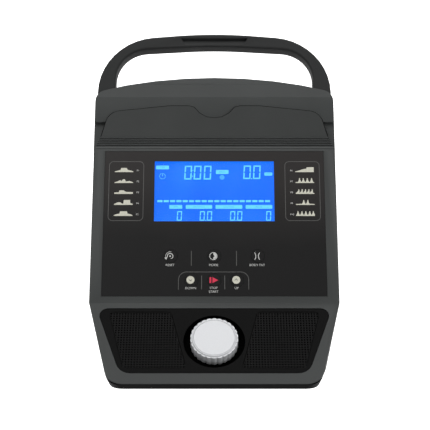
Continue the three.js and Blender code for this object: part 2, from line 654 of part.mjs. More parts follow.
// ---- Speaker panel and speakers, in the frame of the lower face ---------------------------------
function grilleOutline(side, growth = 0) {
  const sharp = [
    [BOWL_RADIUS + GRILLE_BESIDE_BOWL.bottom, -GRILLE_BOTTOM, GRILLE_CORNER],
    [PANEL_HALF_BOTTOM - GRILLE_MARGIN.sideBottom, -GRILLE_BOTTOM, GRILLE_CORNER],
    [PANEL_HALF_TOP - GRILLE_MARGIN.sideTop, -GRILLE_TOP, GRILLE_CORNER],
    [BOWL_RADIUS + GRILLE_BESIDE_BOWL.top, -GRILLE_TOP, GRILLE_CORNER],
  ];
  const grown = insetPolygon(sharp, -growth);
  return rounded(side > 0 ? grown : grown.map(([x, z, r]) => [-x, z, r]).reverse(), 3);
}

function speakerPanel() {
  const plate = slab(panelOutline(), PANEL.depth, PANEL.depth + PANEL.thick);
  const flange = slab(panelOutline(PANEL_FLANGE), WALL + 0.2 + GAP, PANEL.depth + PANEL.thick);
  const bowl = disc(BOWL_RADIUS + BOWL_WALL, PANEL.depth, BOWL_DEPTH + WALL, 0, -DIAL_M, 48);
  const bowlSpace = disc(BOWL_RADIUS, -FAR, BOWL_DEPTH, 0, -DIAL_M, 48);
  const bushingHole = disc(BUSHING_RADIUS + GAP, 0, FAR, 0, -DIAL_M);
  const windows = [-1, 1].map((side) => slab(grilleOutline(side, GAP), -FAR, FAR));
  return cut(join(plate, flange, bowl), bowlSpace, bushingHole, ...windows);
}

function grille(side) {
  return slab(grilleOutline(side), GRILLE_FACE, GRILLE_FACE + GRILLE_THICK);
}

const speakerFront = PANEL.depth + PANEL.thick + GAP;

function speakerBasket() {
  const { radius, flange, height, throat } = SPEAKER;
  const [front, back] = [speakerFront, speakerFront + height];
  return turned([
    [radius - 3, front],
    [radius, front],
    [radius, front + flange],
    [radius - 2, front + flange],
    [throat, back],
    [5, back],
    [5, back - 1.2],
    [throat - 1.4, back - 1.2],
    [radius - 3.6, front + flange],
    [radius - 3, front],
  ]);
}

function speakerCone() {
  const { radius, throat } = SPEAKER;
  const front = speakerFront + 0.4;
  return turned([
    [0, front + 3],
    [5, front + 4.4],
    [7, front + 7],
    [radius - 6.5, front + 0.6],
    [radius - 5, front - 0.2],
    [radius - 3.6, front],
    [radius - 5, front + 1],
    [radius - 6.5, front + 1.6],
    [7, front + 8],
    [throat / 3, front + 6],
    [0, front + 5],
  ]);
}

function speakerMagnet() {
  const front = speakerFront + SPEAKER.height + GAP;
  return disc(SPEAKER.magnet, front, front + SPEAKER.magnetHeight, 0, 0, 28);
}

// ---- Dial and encoder, in the frame of the lower face, about the dial's axis --------------------
function flutedOutline(radius, depth) {
  const steps = 6;
  return Array.from({ length: DIAL.flutes * steps }, (_, i) => {
    const angle = (2 * Math.PI * i) / (DIAL.flutes * steps);
    const groove = Math.max(0, Math.cos(DIAL.flutes * angle)) ** 1.5;
    return [(radius - depth * groove) * Math.cos(angle), (radius - depth * groove) * Math.sin(angle)];
  });
}

const capRadius = DIAL.radius - DIAL_CAP.border;
const capSeat = DIAL.top + DIAL_CAP.thick + GAP;
const nutFront = BOWL_DEPTH - GAP - NUT.thick;
const bushingFront = nutFront - NUT.beyond;
const hubEnd = bushingFront - PRESS_TRAVEL - GAP;

function dialKnob() {
  const body = slab(flutedOutline(DIAL.radius, DIAL.fluteDepth), DIAL.top + DIAL.rim, DIAL.base);
  const rim = turned([
    [0, DIAL.top],
    [DIAL.radius - DIAL.rim - DIAL.fluteDepth, DIAL.top],
    [DIAL.radius - DIAL.fluteDepth, DIAL.top + DIAL.rim + 0.2],
    [0, DIAL.top + DIAL.rim + 0.2],
  ], 52);
  const capRecess = disc(capRadius + GAP, -FAR, capSeat, 0, 0, 48);
  const underside = disc(DIAL.radius - DIAL.fluteDepth - DIAL.wall, capSeat + WALL, FAR, 0, 0, 40);
  const hub = disc(SHAFT_RADIUS + 3, capSeat + WALL - 0.5, hubEnd, 0, 0, 20);
  const bore = disc(SHAFT_RADIUS + GAP, capSeat + 1, FAR, 0, 0, 20);
  return cut(join(cut(join(body, rim), capRecess, underside), hub), bore);
}

const encoderFront = BOWL_DEPTH + WALL + GAP;
const encoderBack = encoderFront + ENCODER.length;
const pushDiscFront = encoderBack - 1.2 - 1 - PRESS_TRAVEL - GAP;

function encoderBody() {
  const block = slab(rectangle(ENCODER.width, ENCODER.height), encoderFront, encoderBack);
  const bushing = disc(BUSHING_RADIUS, bushingFront, encoderFront + 0.5, 0, 0, 24);
  return block.add(bushing).subtract(disc(SHAFT_RADIUS + GAP, -FAR, encoderBack - 1.2, 0, 0, 20));
}

function encoderNut() {
  const hexagon = circle(NUT.radius, 0, 0, 6);
  return slab(hexagon, nutFront, BOWL_DEPTH - GAP).subtract(disc(BUSHING_RADIUS + GAP, -FAR, FAR, 0, 0, 24));
}

// ---- Leads --------------------------------------------------------------------------------------
function lead(points, radius) {
  const path = new THREE.CatmullRomCurve3(points.map((p) => new THREE.Vector3(...p)));
  const section = new THREE.Shape(circle(radius, 0, 0, 8).map(([x, y]) => new THREE.Vector2(x, y)));
  return solidOf(new THREE.ExtrudeGeometry(section, { steps: 24, extrudePath: path }));
}

function speakerLead(side) {
  const [y, z] = lowerPoint(speakerFront + SPEAKER.height - 3, SPEAKER_M - SPEAKER.radius - 2);
  return lead([
    [side * SPEAKER_X, y, z],
    [side * (SPEAKER_X - 4), y + 5, z + 14],
    [side * (SPEAKER_X - 20), 22, 18],
    [side * (SPEAKER_X - 24), 20, 30],
    [side * (SPEAKER_X - 24), BOARD.depth + BOARD.thick + 2, 36],
  ], 1);
}

function encoderRibbon() {
  const [startY, startZ] = lowerPoint(encoderBack + 2 * GAP + 2.6, DIAL_M - 8);
  const endY = BOARD.depth + BOARD.thick + 2;
  const middle = [[startY, startZ], [startY + 7, startZ + 12], [endY, -10], [endY + 2, 8], [endY, 24]];
  const curve = new THREE.SplineCurve(middle.map(([y, z]) => new THREE.Vector2(y, z))).getPoints(14);
  const side = (offset) => curve.map((p, i) => {
    const tangent = curve[Math.min(i + 1, 14)].clone().sub(curve[Math.max(i - 1, 0)]).normalize();
    return new THREE.Vector2(p.x - tangent.y * offset, p.y + tangent.x * offset);
  });
  return bar([...side(-0.4), ...side(0.4).reverse()], 5);
}

// ---- Mounting plate and grommet -----------------------------------------------------------------
const mountBolts = [-1, 1].flatMap((sx) => [-1, 1].map((sz) => [
  sx * (MOUNT.width / 2 - MOUNT.boltInset),
  MOUNT.z + sz * (MOUNT.height / 2 - MOUNT.boltInset),
]));

function mountPlate() {
  const outline = rounded(rectangle(MOUNT.width, MOUNT.height, 0, MOUNT.z).map((p) => [...p, 3]), 3);
  const plate = slab(outline, MOUNT_FACE - MOUNT.thick, MOUNT_FACE);
  return cut(plate, ...mountBolts.map(([x, z]) => disc(MOUNT.bolt, -FAR, FAR, x, z, 20)));
}

function cableGrommet() {
  const { bore, hole, flange, lip } = GROMMET;
  const [front, back] = [BODY_BACK - WALL - GAP, BODY_BACK + GAP];
  return turned([
    [bore, front - lip],
    [flange, front - lip],
    [flange, front],
    [hole - GAP, front],
    [hole - GAP, back],
    [flange, back],
    [flange - 0.8, back + lip],
    [bore, back + lip],
    [bore, front - lip],
  ], 24);
}

// ---- Materials ----------------------------------------------------------------------------------
function material(color, roughness, metalness = 0, more = {}) {
  return new THREE.MeshStandardMaterial({ color, roughness, metalness, ...more });
}

const finishes = {
  greyShell: material(0x4a4d4c, 0.55),
  blackShell: material(0x101010, 0.5),
  handle: material(0x383838, 0.6),
  overlay: material(0x2b2b2b, 0.35),
  keyPrint: material(0x2e2e2e, 0.4),
  lens: material(0xcfe4ff, 0.05, 0, { transparent: true, opacity: 0.3 }),
  screen: material(0x2f80ff, 0.3),
  frame: material(0xd8d8d4, 0.6),
  board: material(0x1f5a34, 0.5),
  chip: material(0x151515, 0.5),
  panel: material(0x1c1c1c, 0.6),
  grille: material(0x161616, 0.7),
  silver: material(0xe2e4e6, 0.25, 0.9),
  steel: material(0xa8abad, 0.35, 1),
  zinc: material(0x8c8f92, 0.4, 1),
  cone: material(0x202022, 0.8),
  rubber: material(0x141414, 0.85),
  leadRed: material(0x8a1f1c, 0.6),
  ribbon: material(0xb9bcc0, 0.6),
};

// ---- Assembly -----------------------------------------------------------------------------------
function piece(parent, name, solid, finish) {
  const mesh = new THREE.Mesh(geometryOf(solid), finish);
  mesh.name = name;
  parent.add(mesh);
  return mesh;
}

const root = new THREE.Group();
const upright = new THREE.Group();
const lowerFace = new THREE.Group();
const dial = new THREE.Group();
const lean = THREE.MathUtils.degToRad(LEAN);
root.add(upright);
upright.add(lowerFace);
lowerFace.add(dial);
upright.rotation.x = -lean;
upright.position.set(0, 0, 0).sub(
  new THREE.Vector3(0, MOUNT_FACE, MOUNT.z).applyEuler(new THREE.Euler(-lean, 0, 0)),
);
lowerFace.rotation.x = -FOLD;
dial.position.z = -DIAL_M;

piece(upright, "front_housing", frontHousing(), finishes.greyShell);
piece(upright, "rear_cover", rearCover(), finishes.blackShell);
piece(upright, "tablet_rest", tabletRest(), finishes.greyShell);
piece(upright, "handle_front", handleFront(), finishes.handle);
piece(upright, "handle_back", handleBack(), finishes.handle);

piece(upright, "control_overlay", controlOverlay(), finishes.overlay);
piece(upright, "screen_lens", screenSlab(LENS_MARGIN, OVERLAY_SEAT, LENS_THICK), finishes.lens);
const glassFront = FRAME_FRONT + GAP;
const backlightFront = glassFront + GLASS_THICK + GAP;
piece(upright, "screen_glass", screenSlab(LENS_MARGIN - GAP, glassFront, GLASS_THICK), finishes.screen);
piece(
  upright,
  "screen_backlight",
  screenSlab(LENS_MARGIN - GAP, backlightFront, BOARD.depth - GAP - backlightFront),
  finishes.frame,
);
piece(upright, "screen_frame", displayFrame(), finishes.frame);
piece(upright, "main_board", mainBoard(), finishes.board);
for (const [name, x, z] of KEYS) {
  piece(upright, name, key(x, z), finishes.keyPrint);
  const body = slab(rectangle(SWITCH_SIZE, SWITCH_SIZE, x, z), switchTop, BOARD.depth - GAP);
  piece(upright, name.replace("key", "switch"), body, finishes.chip);
}
const boardRear = BOARD.depth + BOARD.thick + GAP;
const chipOutline = rectangle(CHIP.size, CHIP.size, CHIP.x, BOARD_Z - CHIP.drop);
piece(upright, "controller_chip", slab(chipOutline, boardRear, boardRear + CHIP.thick), finishes.chip);
const beeper = disc(BEEPER.radius, boardRear, boardRear + BEEPER.height, BEEPER.x, BOARD_Z - BEEPER.drop);
piece(upright, "beeper", beeper, finishes.chip);
boardPosts.forEach(([x, z], i) => {
  const { shank, head, length } = BOARD_SCREW;
  piece(upright, `board_screw_${i + 1}`, screw(x, z, boardRear, length, shank, head), finishes.zinc);
});

piece(lowerFace, "speaker_panel", speakerPanel(), finishes.panel);
for (const [side, hand] of [[-1, "left"], [1, "right"]]) {
  piece(lowerFace, `grille_${hand}`, grille(side), finishes.grille);
  const speaker = new THREE.Group();
  speaker.position.set(side * SPEAKER_X, 0, -SPEAKER_M);
  lowerFace.add(speaker);
  piece(speaker, `speaker_basket_${hand}`, speakerBasket(), finishes.steel);
  piece(speaker, `speaker_cone_${hand}`, speakerCone(), finishes.cone);
  piece(speaker, `speaker_magnet_${hand}`, speakerMagnet(), finishes.zinc);
  piece(upright, `speaker_lead_${hand}`, speakerLead(side), finishes.leadRed);
  const holdsHandle = screw(side * HANDLE_SCREW_X, HANDLE_SCREW_Z, PLATE_BACK + GAP, HANDLE_SCREW.length);
  piece(upright, `handle_screw_${hand}`, holdsHandle, finishes.zinc);
}

piece(dial, "dial_knob", dialKnob(), finishes.silver);
piece(
  dial,
  "dial_cap",
  disc(capRadius, DIAL.top, DIAL.top + DIAL_CAP.thick, 0, 0, 48),
  finishes.silver,
);
const shaft = disc(SHAFT_RADIUS, capSeat + 1 + GAP, pushDiscFront - GAP, 0, 0, 20);
piece(dial, "encoder_shaft", shaft, finishes.steel);
const pushDisc = disc(SHAFT_RADIUS - 0.2, pushDiscFront, pushDiscFront + 1, 0, 0, 20);
piece(dial, "encoder_push_disc", pushDisc, finishes.zinc);
piece(dial, "encoder_body", encoderBody(), finishes.zinc);
piece(dial, "encoder_nut", encoderNut(), finishes.steel);
piece(
  dial,
  "encoder_board",
  slab(rectangle(34, 26), encoderBack + GAP, encoderBack + GAP + 1.6),
  finishes.board,
);
piece(upright, "encoder_ribbon", encoderRibbon(), finishes.ribbon);

piece(upright, "mount_plate", mountPlate(), finishes.zinc);
const grommet = piece(upright, "cable_grommet", cableGrommet(), finishes.rubber);
grommet.position.z = GROMMET_Z;
const coverSeat = PARTING_DEPTH + GAP + WALL + GAP;
for (const [name, x, z] of COVER_SCREWS) {
  piece(upright, name, screw(x, z, coverSeat, COVER_SCREW.length), finishes.zinc);
}

export default root;
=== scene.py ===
"""Looks of an elliptical trainer's console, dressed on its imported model.

Each sub-assembly is a class that holds its sizes and builds and dresses its own pieces.
Lengths in the dataclasses are in millimetres; meshes are in metres, in the model's frame.
"""

import json
import logging
import math
from contextlib import contextmanager
from dataclasses import dataclass, field
from enum import Enum
from typing import Callable, Iterator, Sequence

import bmesh
import bpy
from mathutils import Matrix, Vector


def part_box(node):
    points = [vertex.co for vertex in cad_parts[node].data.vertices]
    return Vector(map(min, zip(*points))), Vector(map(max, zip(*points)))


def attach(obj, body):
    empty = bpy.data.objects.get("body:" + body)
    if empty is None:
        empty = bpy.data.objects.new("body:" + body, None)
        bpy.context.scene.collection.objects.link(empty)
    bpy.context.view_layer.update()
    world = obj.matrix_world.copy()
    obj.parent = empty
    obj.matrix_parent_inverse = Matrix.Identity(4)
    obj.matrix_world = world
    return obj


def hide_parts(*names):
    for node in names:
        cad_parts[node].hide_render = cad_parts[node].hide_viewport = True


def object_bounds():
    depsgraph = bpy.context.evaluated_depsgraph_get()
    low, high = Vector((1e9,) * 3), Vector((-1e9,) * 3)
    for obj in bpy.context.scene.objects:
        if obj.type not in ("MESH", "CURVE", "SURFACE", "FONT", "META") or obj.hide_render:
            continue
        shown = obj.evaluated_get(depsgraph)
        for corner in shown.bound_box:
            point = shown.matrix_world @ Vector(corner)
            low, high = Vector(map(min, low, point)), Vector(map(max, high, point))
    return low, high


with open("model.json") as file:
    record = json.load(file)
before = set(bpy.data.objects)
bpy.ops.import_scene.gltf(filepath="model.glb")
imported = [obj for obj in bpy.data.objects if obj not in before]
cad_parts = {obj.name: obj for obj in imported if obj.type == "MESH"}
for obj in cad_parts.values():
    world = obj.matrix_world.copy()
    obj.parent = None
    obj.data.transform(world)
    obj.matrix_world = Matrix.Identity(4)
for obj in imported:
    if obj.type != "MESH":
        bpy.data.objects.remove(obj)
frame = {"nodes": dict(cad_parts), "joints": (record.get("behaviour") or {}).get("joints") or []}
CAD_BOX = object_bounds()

MM = 0.001
CONSOLE = "console"
KEYS = ("reset", "mode", "body_fat", "down", "start_stop", "up")
SIDES = ("left", "right")
CAPITAL_SHARE = 0.7  # height of a capital as a share of the text size
log = logging.getLogger("console")

Colour = tuple[float, float, float]
Loop = list[tuple[float, float]]


# ---- Bench: shaping by operators ----------------------------------------------------------------
def deselect_all() -> None:
    """Leave nothing selected and nothing active."""
    bpy.ops.object.select_all(action="DESELECT")
    bpy.context.view_layer.objects.active = None


def take(*objects: bpy.types.Object) -> bpy.types.Object:
    """Select these objects only and make the first one active.

    Args:
        objects: the objects to select.

    Returns:
        The first object.
    """
    deselect_all()
    for item in objects:
        item.select_set(True)
    bpy.context.view_layer.objects.active = objects[0]
    return objects[0]


@contextmanager
def edit_mode(piece: bpy.types.Object) -> Iterator[None]:
    """Open a piece in edit mode and leave it again.

    Args:
        piece: the mesh object to edit.
    """
    take(piece)
    bpy.ops.object.mode_set(mode="EDIT")
    yield
    bpy.ops.object.mode_set(mode="OBJECT")


def apply_modifiers(piece: bpy.types.Object) -> None:
    """Apply every modifier of a piece, in order.

    Args:
        piece: the piece.
    """
    take(piece)
    for modifier in list(piece.modifiers):
        bpy.ops.object.modifier_apply(modifier=modifier.name)


def join(name: str, parts: Sequence[bpy.types.Object]) -> bpy.types.Object:
    """Join several mesh objects into one named piece.

    Args:
        name: the piece's name.
        parts: the objects to join.

    Returns:
        The joined object.
    """
    joined = take(*parts)
    if len(parts) > 1:
        bpy.ops.object.join()
    joined.name = name
    return joined


def settle(piece: bpy.types.Object, place: Matrix) -> None:
    """Put a piece at its place and bake that place into its mesh.

    Args:
        piece: a mesh object drawn about the origin.
        place: where it goes.
    """
    piece.matrix_world = place
    take(piece)
    bpy.ops.object.transform_apply(location=True, rotation=True, scale=True)


def copy_of_node(node: str, name: str) -> bpy.types.Object:
    """Make a merged copy of a CAD node's mesh, ready to be refined.

    Args:
        node: the CAD node's name.
        name: the new piece's name.

    Returns:
        The copy, with flat faces dissolved into whole ones.
    """
    mesh = frame["nodes"][node].data.copy()
    mesh.materials.clear()
    copy = bpy.data.objects.new(name, mesh)
    bpy.context.scene.collection.objects.link(copy)
    with edit_mode(copy):
        bpy.ops.mesh.select_all(action="SELECT")
        bpy.ops.mesh.remove_doubles(threshold=0.002 * MM)
        bpy.ops.mesh.dissolve_limited(angle_limit=math.radians(0.6))
    return copy


def select_where(piece: bpy.types.Object, kind: str, test: Callable[..., bool]) -> None:
    """Select the edges or faces that pass a test, on a piece in edit mode.

    Args:
        piece: the piece, open in edit mode.
        kind: "edges" or "faces".
        test: tells of one edge or face whether it is selected.
    """
    bpy.ops.mesh.select_mode(type="EDGE" if kind == "edges" else "FACE")
    bpy.ops.mesh.select_all(action="DESELECT")
    for item in getattr(bmesh.from_edit_mesh(piece.data), kind):
        item.select_set(test(item))
    bmesh.update_edit_mesh(piece.data)


def round_edges(
    piece: bpy.types.Object,
    width: float,
    segments: int = 2,
    angle: float = 28.0,
    where: Callable[[Vector], bool] = lambda middle: True,
) -> None:
    """Round the sharp edges of a piece that lie in a given place.

    Args:
        piece: the piece to shape.
        width: width of the rounding, in millimetres.
        segments: how many faces the rounding has.
        angle: edges that turn less than this, in degrees, stay as they are.
        where: tells from an edge's middle whether it is rounded.
    """

    def is_rounded(edge: bmesh.types.BMEdge) -> bool:
        """Tell whether an edge is sharp enough and in the right place.

        Args:
            edge: the edge.

        Returns:
            True if it is to be rounded.
        """
        if len(edge.link_faces) != 2 or edge.calc_face_angle() <= math.radians(angle):
            return False
        return where((edge.verts[0].co + edge.verts[1].co) / 2)

    with edit_mode(piece):
        select_where(piece, "edges", is_rounded)
        bpy.ops.mesh.bevel(offset=width * MM, segments=segments, profile=0.6, clamp_overlap=True)
        bpy.ops.mesh.select_mode(type="VERT")


def smooth(piece: bpy.types.Object, angle: float = 30.0) -> None:
    """Shade a piece smooth up to an angle between faces.

    Args:
        piece: the piece to shade.
        angle: faces that meet at more than this, in degrees, keep a sharp edge.
    """
    take(piece)
    bpy.ops.object.shade_smooth_by_angle(angle=math.radians(angle))
    flatten = piece.modifiers.new("flat faces", "WEIGHTED_NORMAL")
    flatten.weight = 100
    flatten.keep_sharp = True
    apply_modifiers(piece)


# ---- Places on the console ----------------------------------------------------------------------
@dataclass(frozen=True)
class Face:
    """One flat working face of the console, with its own across, up and out directions."""

    origin: Vector
    up: Vector
    out: Vector

    def point(self, across: float, up: float, out: float = 0.0) -> Vector:
        """Find a point, in metres, from millimetres right, up and out."""
        return self.origin + (Vector((across, 0, 0)) + self.up * up + self.out * out) * MM

    def place(self, across: float = 0.0, up: float = 0.0, out: float = 0.0) -> Matrix:
        """Find the matrix that lays a flat drawing (x across, y up, z out) on the face."""
        turn = Matrix((Vector((1, 0, 0)), self.up, self.out)).transposed().to_4x4()
        return Matrix.Translation(self.point(across, up, out)) @ turn

    def read(self, point: Vector) -> Vector:
        """Find a point's across, up and out on the face, in millimetres."""
        offset = (point - self.origin) / MM
        return Vector((offset.x, offset.dot(self.up), offset.dot(self.out)))


def joint(name: str) -> dict:
    """Look up one of the model's joints by name."""
    return next(item for item in frame["joints"] if item["name"] == name)


def working_faces(dial_drop: float) -> tuple[Face, Face]:
    """Find the control face and the lower face from the keys' and the dial's axes.

    Args:
        dial_drop: distance of the dial's axis below the fold, in millimetres.

    Returns:
        The control face and the lower face; both start at the fold.
    """
    lower_out = Vector(joint("dial_turn")["axis"]).normalized()
    lower_up = Vector((1, 0, 0)).cross(-lower_out)
    fold = Vector(joint("dial_turn")["pos_m"]) + lower_up * dial_drop * MM
    control_out = -Vector(joint("mode_press")["axis"]).normalized()
    control_up = Vector((1, 0, 0)).cross(-control_out)
    return Face(fold, control_up, control_out), Face(fold, lower_up, lower_out)


CONTROL, LOWER = working_faces(dial_drop=43.7)


# ---- Finishes -----------------------------------------------------------------------------------
class Nodes:
    """Small helper that wires up one material."""

    def __init__(self, name: str) -> None:
        """Start a material with an empty Principled shader.

        Args:
            name: the material's name.
        """
        self.material = bpy.data.materials.new(name)
        self.material.use_nodes = True
        self.tree = self.material.node_tree
        self.shader = self.tree.nodes["Principled BSDF"]
        self.place = self.tree.nodes.new("ShaderNodeTexCoord").outputs["Object"]

    def noise(self, scale: float, detail: float = 3.0) -> bpy.types.NodeSocket:
        """Noise in the object's own space.

        Args:
            scale: how many grains there are to a metre.
            detail: how many finer layers it has.

        Returns:
            The noise value.
        """
        node = self.tree.nodes.new("ShaderNodeTexNoise")
        node.inputs["Scale"].default_value = scale
        node.inputs["Detail"].default_value = detail
        self.tree.links.new(self.place, node.inputs["Vector"])
        return node.outputs["Fac"]

    def rising(self, foot: float, head: float, scale: float) -> bpy.types.NodeSocket:
        """Value that rises from 0 to 1 between two heights, a little clouded.

        Args:
            foot: height where it is 0, in metres.
            head: height where it is 1.
            scale: how fine the clouding is.

        Returns:
            The value.
        """
        split = self.tree.nodes.new("ShaderNodeSeparateXYZ")
        self.tree.links.new(self.place, split.inputs["Vector"])
        level = self.tree.nodes.new("ShaderNodeMapRange")
        level.inputs["From Min"].default_value = foot
        level.inputs["From Max"].default_value = head
        self.tree.links.new(split.outputs["Z"], level.inputs["Value"])
        mixed = self.tree.nodes.new("ShaderNodeMath")
        mixed.operation = "MULTIPLY_ADD"
        self.tree.links.new(self.noise(scale, 4.0), mixed.inputs[0])
        mixed.inputs[1].default_value = 0.3
        self.tree.links.new(self.span(level.outputs["Result"], -0.15, 0.85), mixed.inputs[2])
        return mixed.outputs[0]

    def ramp(self, value: bpy.types.NodeSocket, low: Colour, high: Colour) -> bpy.types.NodeSocket:
        """Turn a value into a colour between two.

        Args:
            value: the value, from 0 to 1.
            low: colour at a low value.
            high: colour at a high value.

        Returns:
            The colour.
        """
        node = self.tree.nodes.new("ShaderNodeValToRGB")
        node.color_ramp.elements[0].position = 0.3
        node.color_ramp.elements[0].color = (*low, 1)
        node.color_ramp.elements[1].position = 0.7
        node.color_ramp.elements[1].color = (*high, 1)
        self.tree.links.new(value, node.inputs["Fac"])
        return node.outputs["Color"]

    def span(self, value: bpy.types.NodeSocket, low: float, high: float) -> bpy.types.NodeSocket:
        """Map a value from 0..1 to low..high.

        Args:
            value: the value.
            low: result at 0.
            high: result at 1.

        Returns:
            The mapped value.
        """
        node = self.tree.nodes.new("ShaderNodeMapRange")
        node.inputs["To Min"].default_value = low
        node.inputs["To Max"].default_value = high
        self.tree.links.new(value, node.inputs["Value"])
        return node.outputs["Result"]

    def bump(self, height: bpy.types.NodeSocket, strength: float, depth: float) -> None:
        """Raise the surface by a height pattern.

        Args:
            height: the pattern.
            strength: how strongly it shows.
            depth: its depth, in millimetres.
        """
        node = self.tree.nodes.new("ShaderNodeBump")
        node.inputs["Strength"].default_value = strength
        node.inputs["Distance"].default_value = depth * MM
        self.tree.links.new(height, node.inputs["Height"])
        self.tree.links.new(node.outputs["Normal"], self.shader.inputs["Normal"])

    def link(self, value: bpy.types.NodeSocket, socket: str) -> None:
        """Feed a value into the shader."""
        self.tree.links.new(value, self.shader.inputs[socket])

    def set(self, socket: str, value: float | tuple) -> None:
        """Set a plain value on the shader."""
        self.shader.inputs[socket].default_value = value


def shade(colour: Colour, factor: float) -> Colour:
    """Darken or lighten a colour by a factor."""
    return tuple(min(1.0, channel * factor) for channel in colour)


@dataclass(frozen=True)
class MouldedPlastic:
    """Spark-textured moulded plastic with slight unevenness of tone and gloss."""

    name: str
    colour: Colour
    roughness: float = 0.5
    grain: float = 1400.0
    relief: float = 0.25
    tone: float = 0.08
    gloss: float = 0.25

    def material(self) -> bpy.types.Material:
        """Build the material.

        Returns:
            The material.
        """
        nodes = Nodes(f"{self.name}_finish")
        broad = nodes.noise(14.0, 2.0)
        nodes.link(
            nodes.ramp(broad, shade(self.colour, 1 - self.tone), shade(self.colour, 1 + self.tone)),
            "Base Color",
        )
        fine = nodes.noise(self.grain, 2.0)
        nodes.link(nodes.span(fine, self.roughness - 0.06, self.roughness + 0.06), "Roughness")
        nodes.bump(fine, self.relief, 0.08)
        nodes.set("Specular IOR Level", self.gloss)
        return nodes.material


@dataclass(frozen=True)
class PrintedFilm:
    """Dark polyester film, printed from behind, with a faint leather-like emboss and a painted reflection
    that lightens it towards the top.
    """

    name: str
    low: Colour
    high: Colour
    roughness: float = 0.32

    def material(self) -> bpy.types.Material:
        """Build the material.

        Returns:
            The material.
        """
        nodes = Nodes(f"{self.name}_finish")
        # Painted reflection: the base colour lightens from low to high towards the top of the face.
        nodes.link(nodes.ramp(nodes.rising(-0.02, 0.12, 9.0), self.low, self.high), "Base Color")
        fine = nodes.noise(2600.0, 1.0)
        nodes.link(nodes.span(fine, self.roughness - 0.05, self.roughness + 0.05), "Roughness")
        nodes.bump(fine, 0.12, 0.03)
        nodes.set("Specular IOR Level", 0.45)
        return nodes.material


@dataclass(frozen=True)
class PrintInk:
    """Opaque screen-printing ink."""

    name: str
    colour: Colour
    glow: float = 0.0

    def material(self) -> bpy.types.Material:
        """Build the material.

        Returns:
            The material.
        """
        nodes = Nodes(f"{self.name}_finish")
        mottled = nodes.ramp(nodes.noise(700.0), shade(self.colour, 0.93), shade(self.colour, 1.04))
        nodes.link(mottled, "Base Color")
        nodes.set("Roughness", 0.5)
        if self.glow:
            nodes.link(mottled, "Emission Color")
            nodes.set("Emission Strength", self.glow)
        return nodes.material


@dataclass(frozen=True)
class LitScreen:
    """Backlit liquid crystal, its glow a little cloudy."""

    name: str
    low: Colour
    high: Colour
    glow: float

    def material(self) -> bpy.types.Material:
        """Build the material.

        Returns:
            The material.
        """
        nodes = Nodes(f"{self.name}_finish")
        cloudy = nodes.ramp(nodes.noise(22.0, 1.0), self.low, self.high)
        nodes.set("Base Color", (0.01, 0.03, 0.08, 1))
        nodes.link(cloudy, "Emission Color")
        nodes.set("Emission Strength", self.glow)
        nodes.set("Roughness", 0.25)
        return nodes.material


@dataclass(frozen=True)
class ClearLens:
    """Thin clear acrylic."""

    name: str
    tint: Colour = (0.97, 0.99, 1.0)

    def material(self) -> bpy.types.Material:
        """Build the material.

        Returns:
            The material.
        """
        nodes = Nodes(f"{self.name}_finish")
        nodes.set("Base Color", (*self.tint, 1))
        nodes.set("Transmission Weight", 1.0)
        nodes.set("IOR", 1.12)
        smear = nodes.noise(35.0, 4.0)
        nodes.link(nodes.span(smear, 0.0, 0.04), "Roughness")
        return nodes.material


@dataclass(frozen=True)
class CoatedSilver:
    """Silver coating on a moulding, or bare metal."""

    name: str
    colour: Colour
    roughness: float = 0.35
    metallic: float = 0.6
    grain: float = 1800.0

    def material(self) -> bpy.types.Material:
        """Build the material.

        Returns:
            The material.
        """
        nodes = Nodes(f"{self.name}_finish")
        fleck = nodes.noise(self.grain, 2.0)
        nodes.link(nodes.ramp(fleck, shade(self.colour, 0.95), shade(self.colour, 1.03)), "Base Color")
        nodes.link(nodes.span(fleck, self.roughness - 0.07, self.roughness + 0.07), "Roughness")
        nodes.set("Metallic", self.metallic)
        nodes.bump(nodes.noise(self.grain * 0.6), 0.03, 0.02)
        return nodes.material


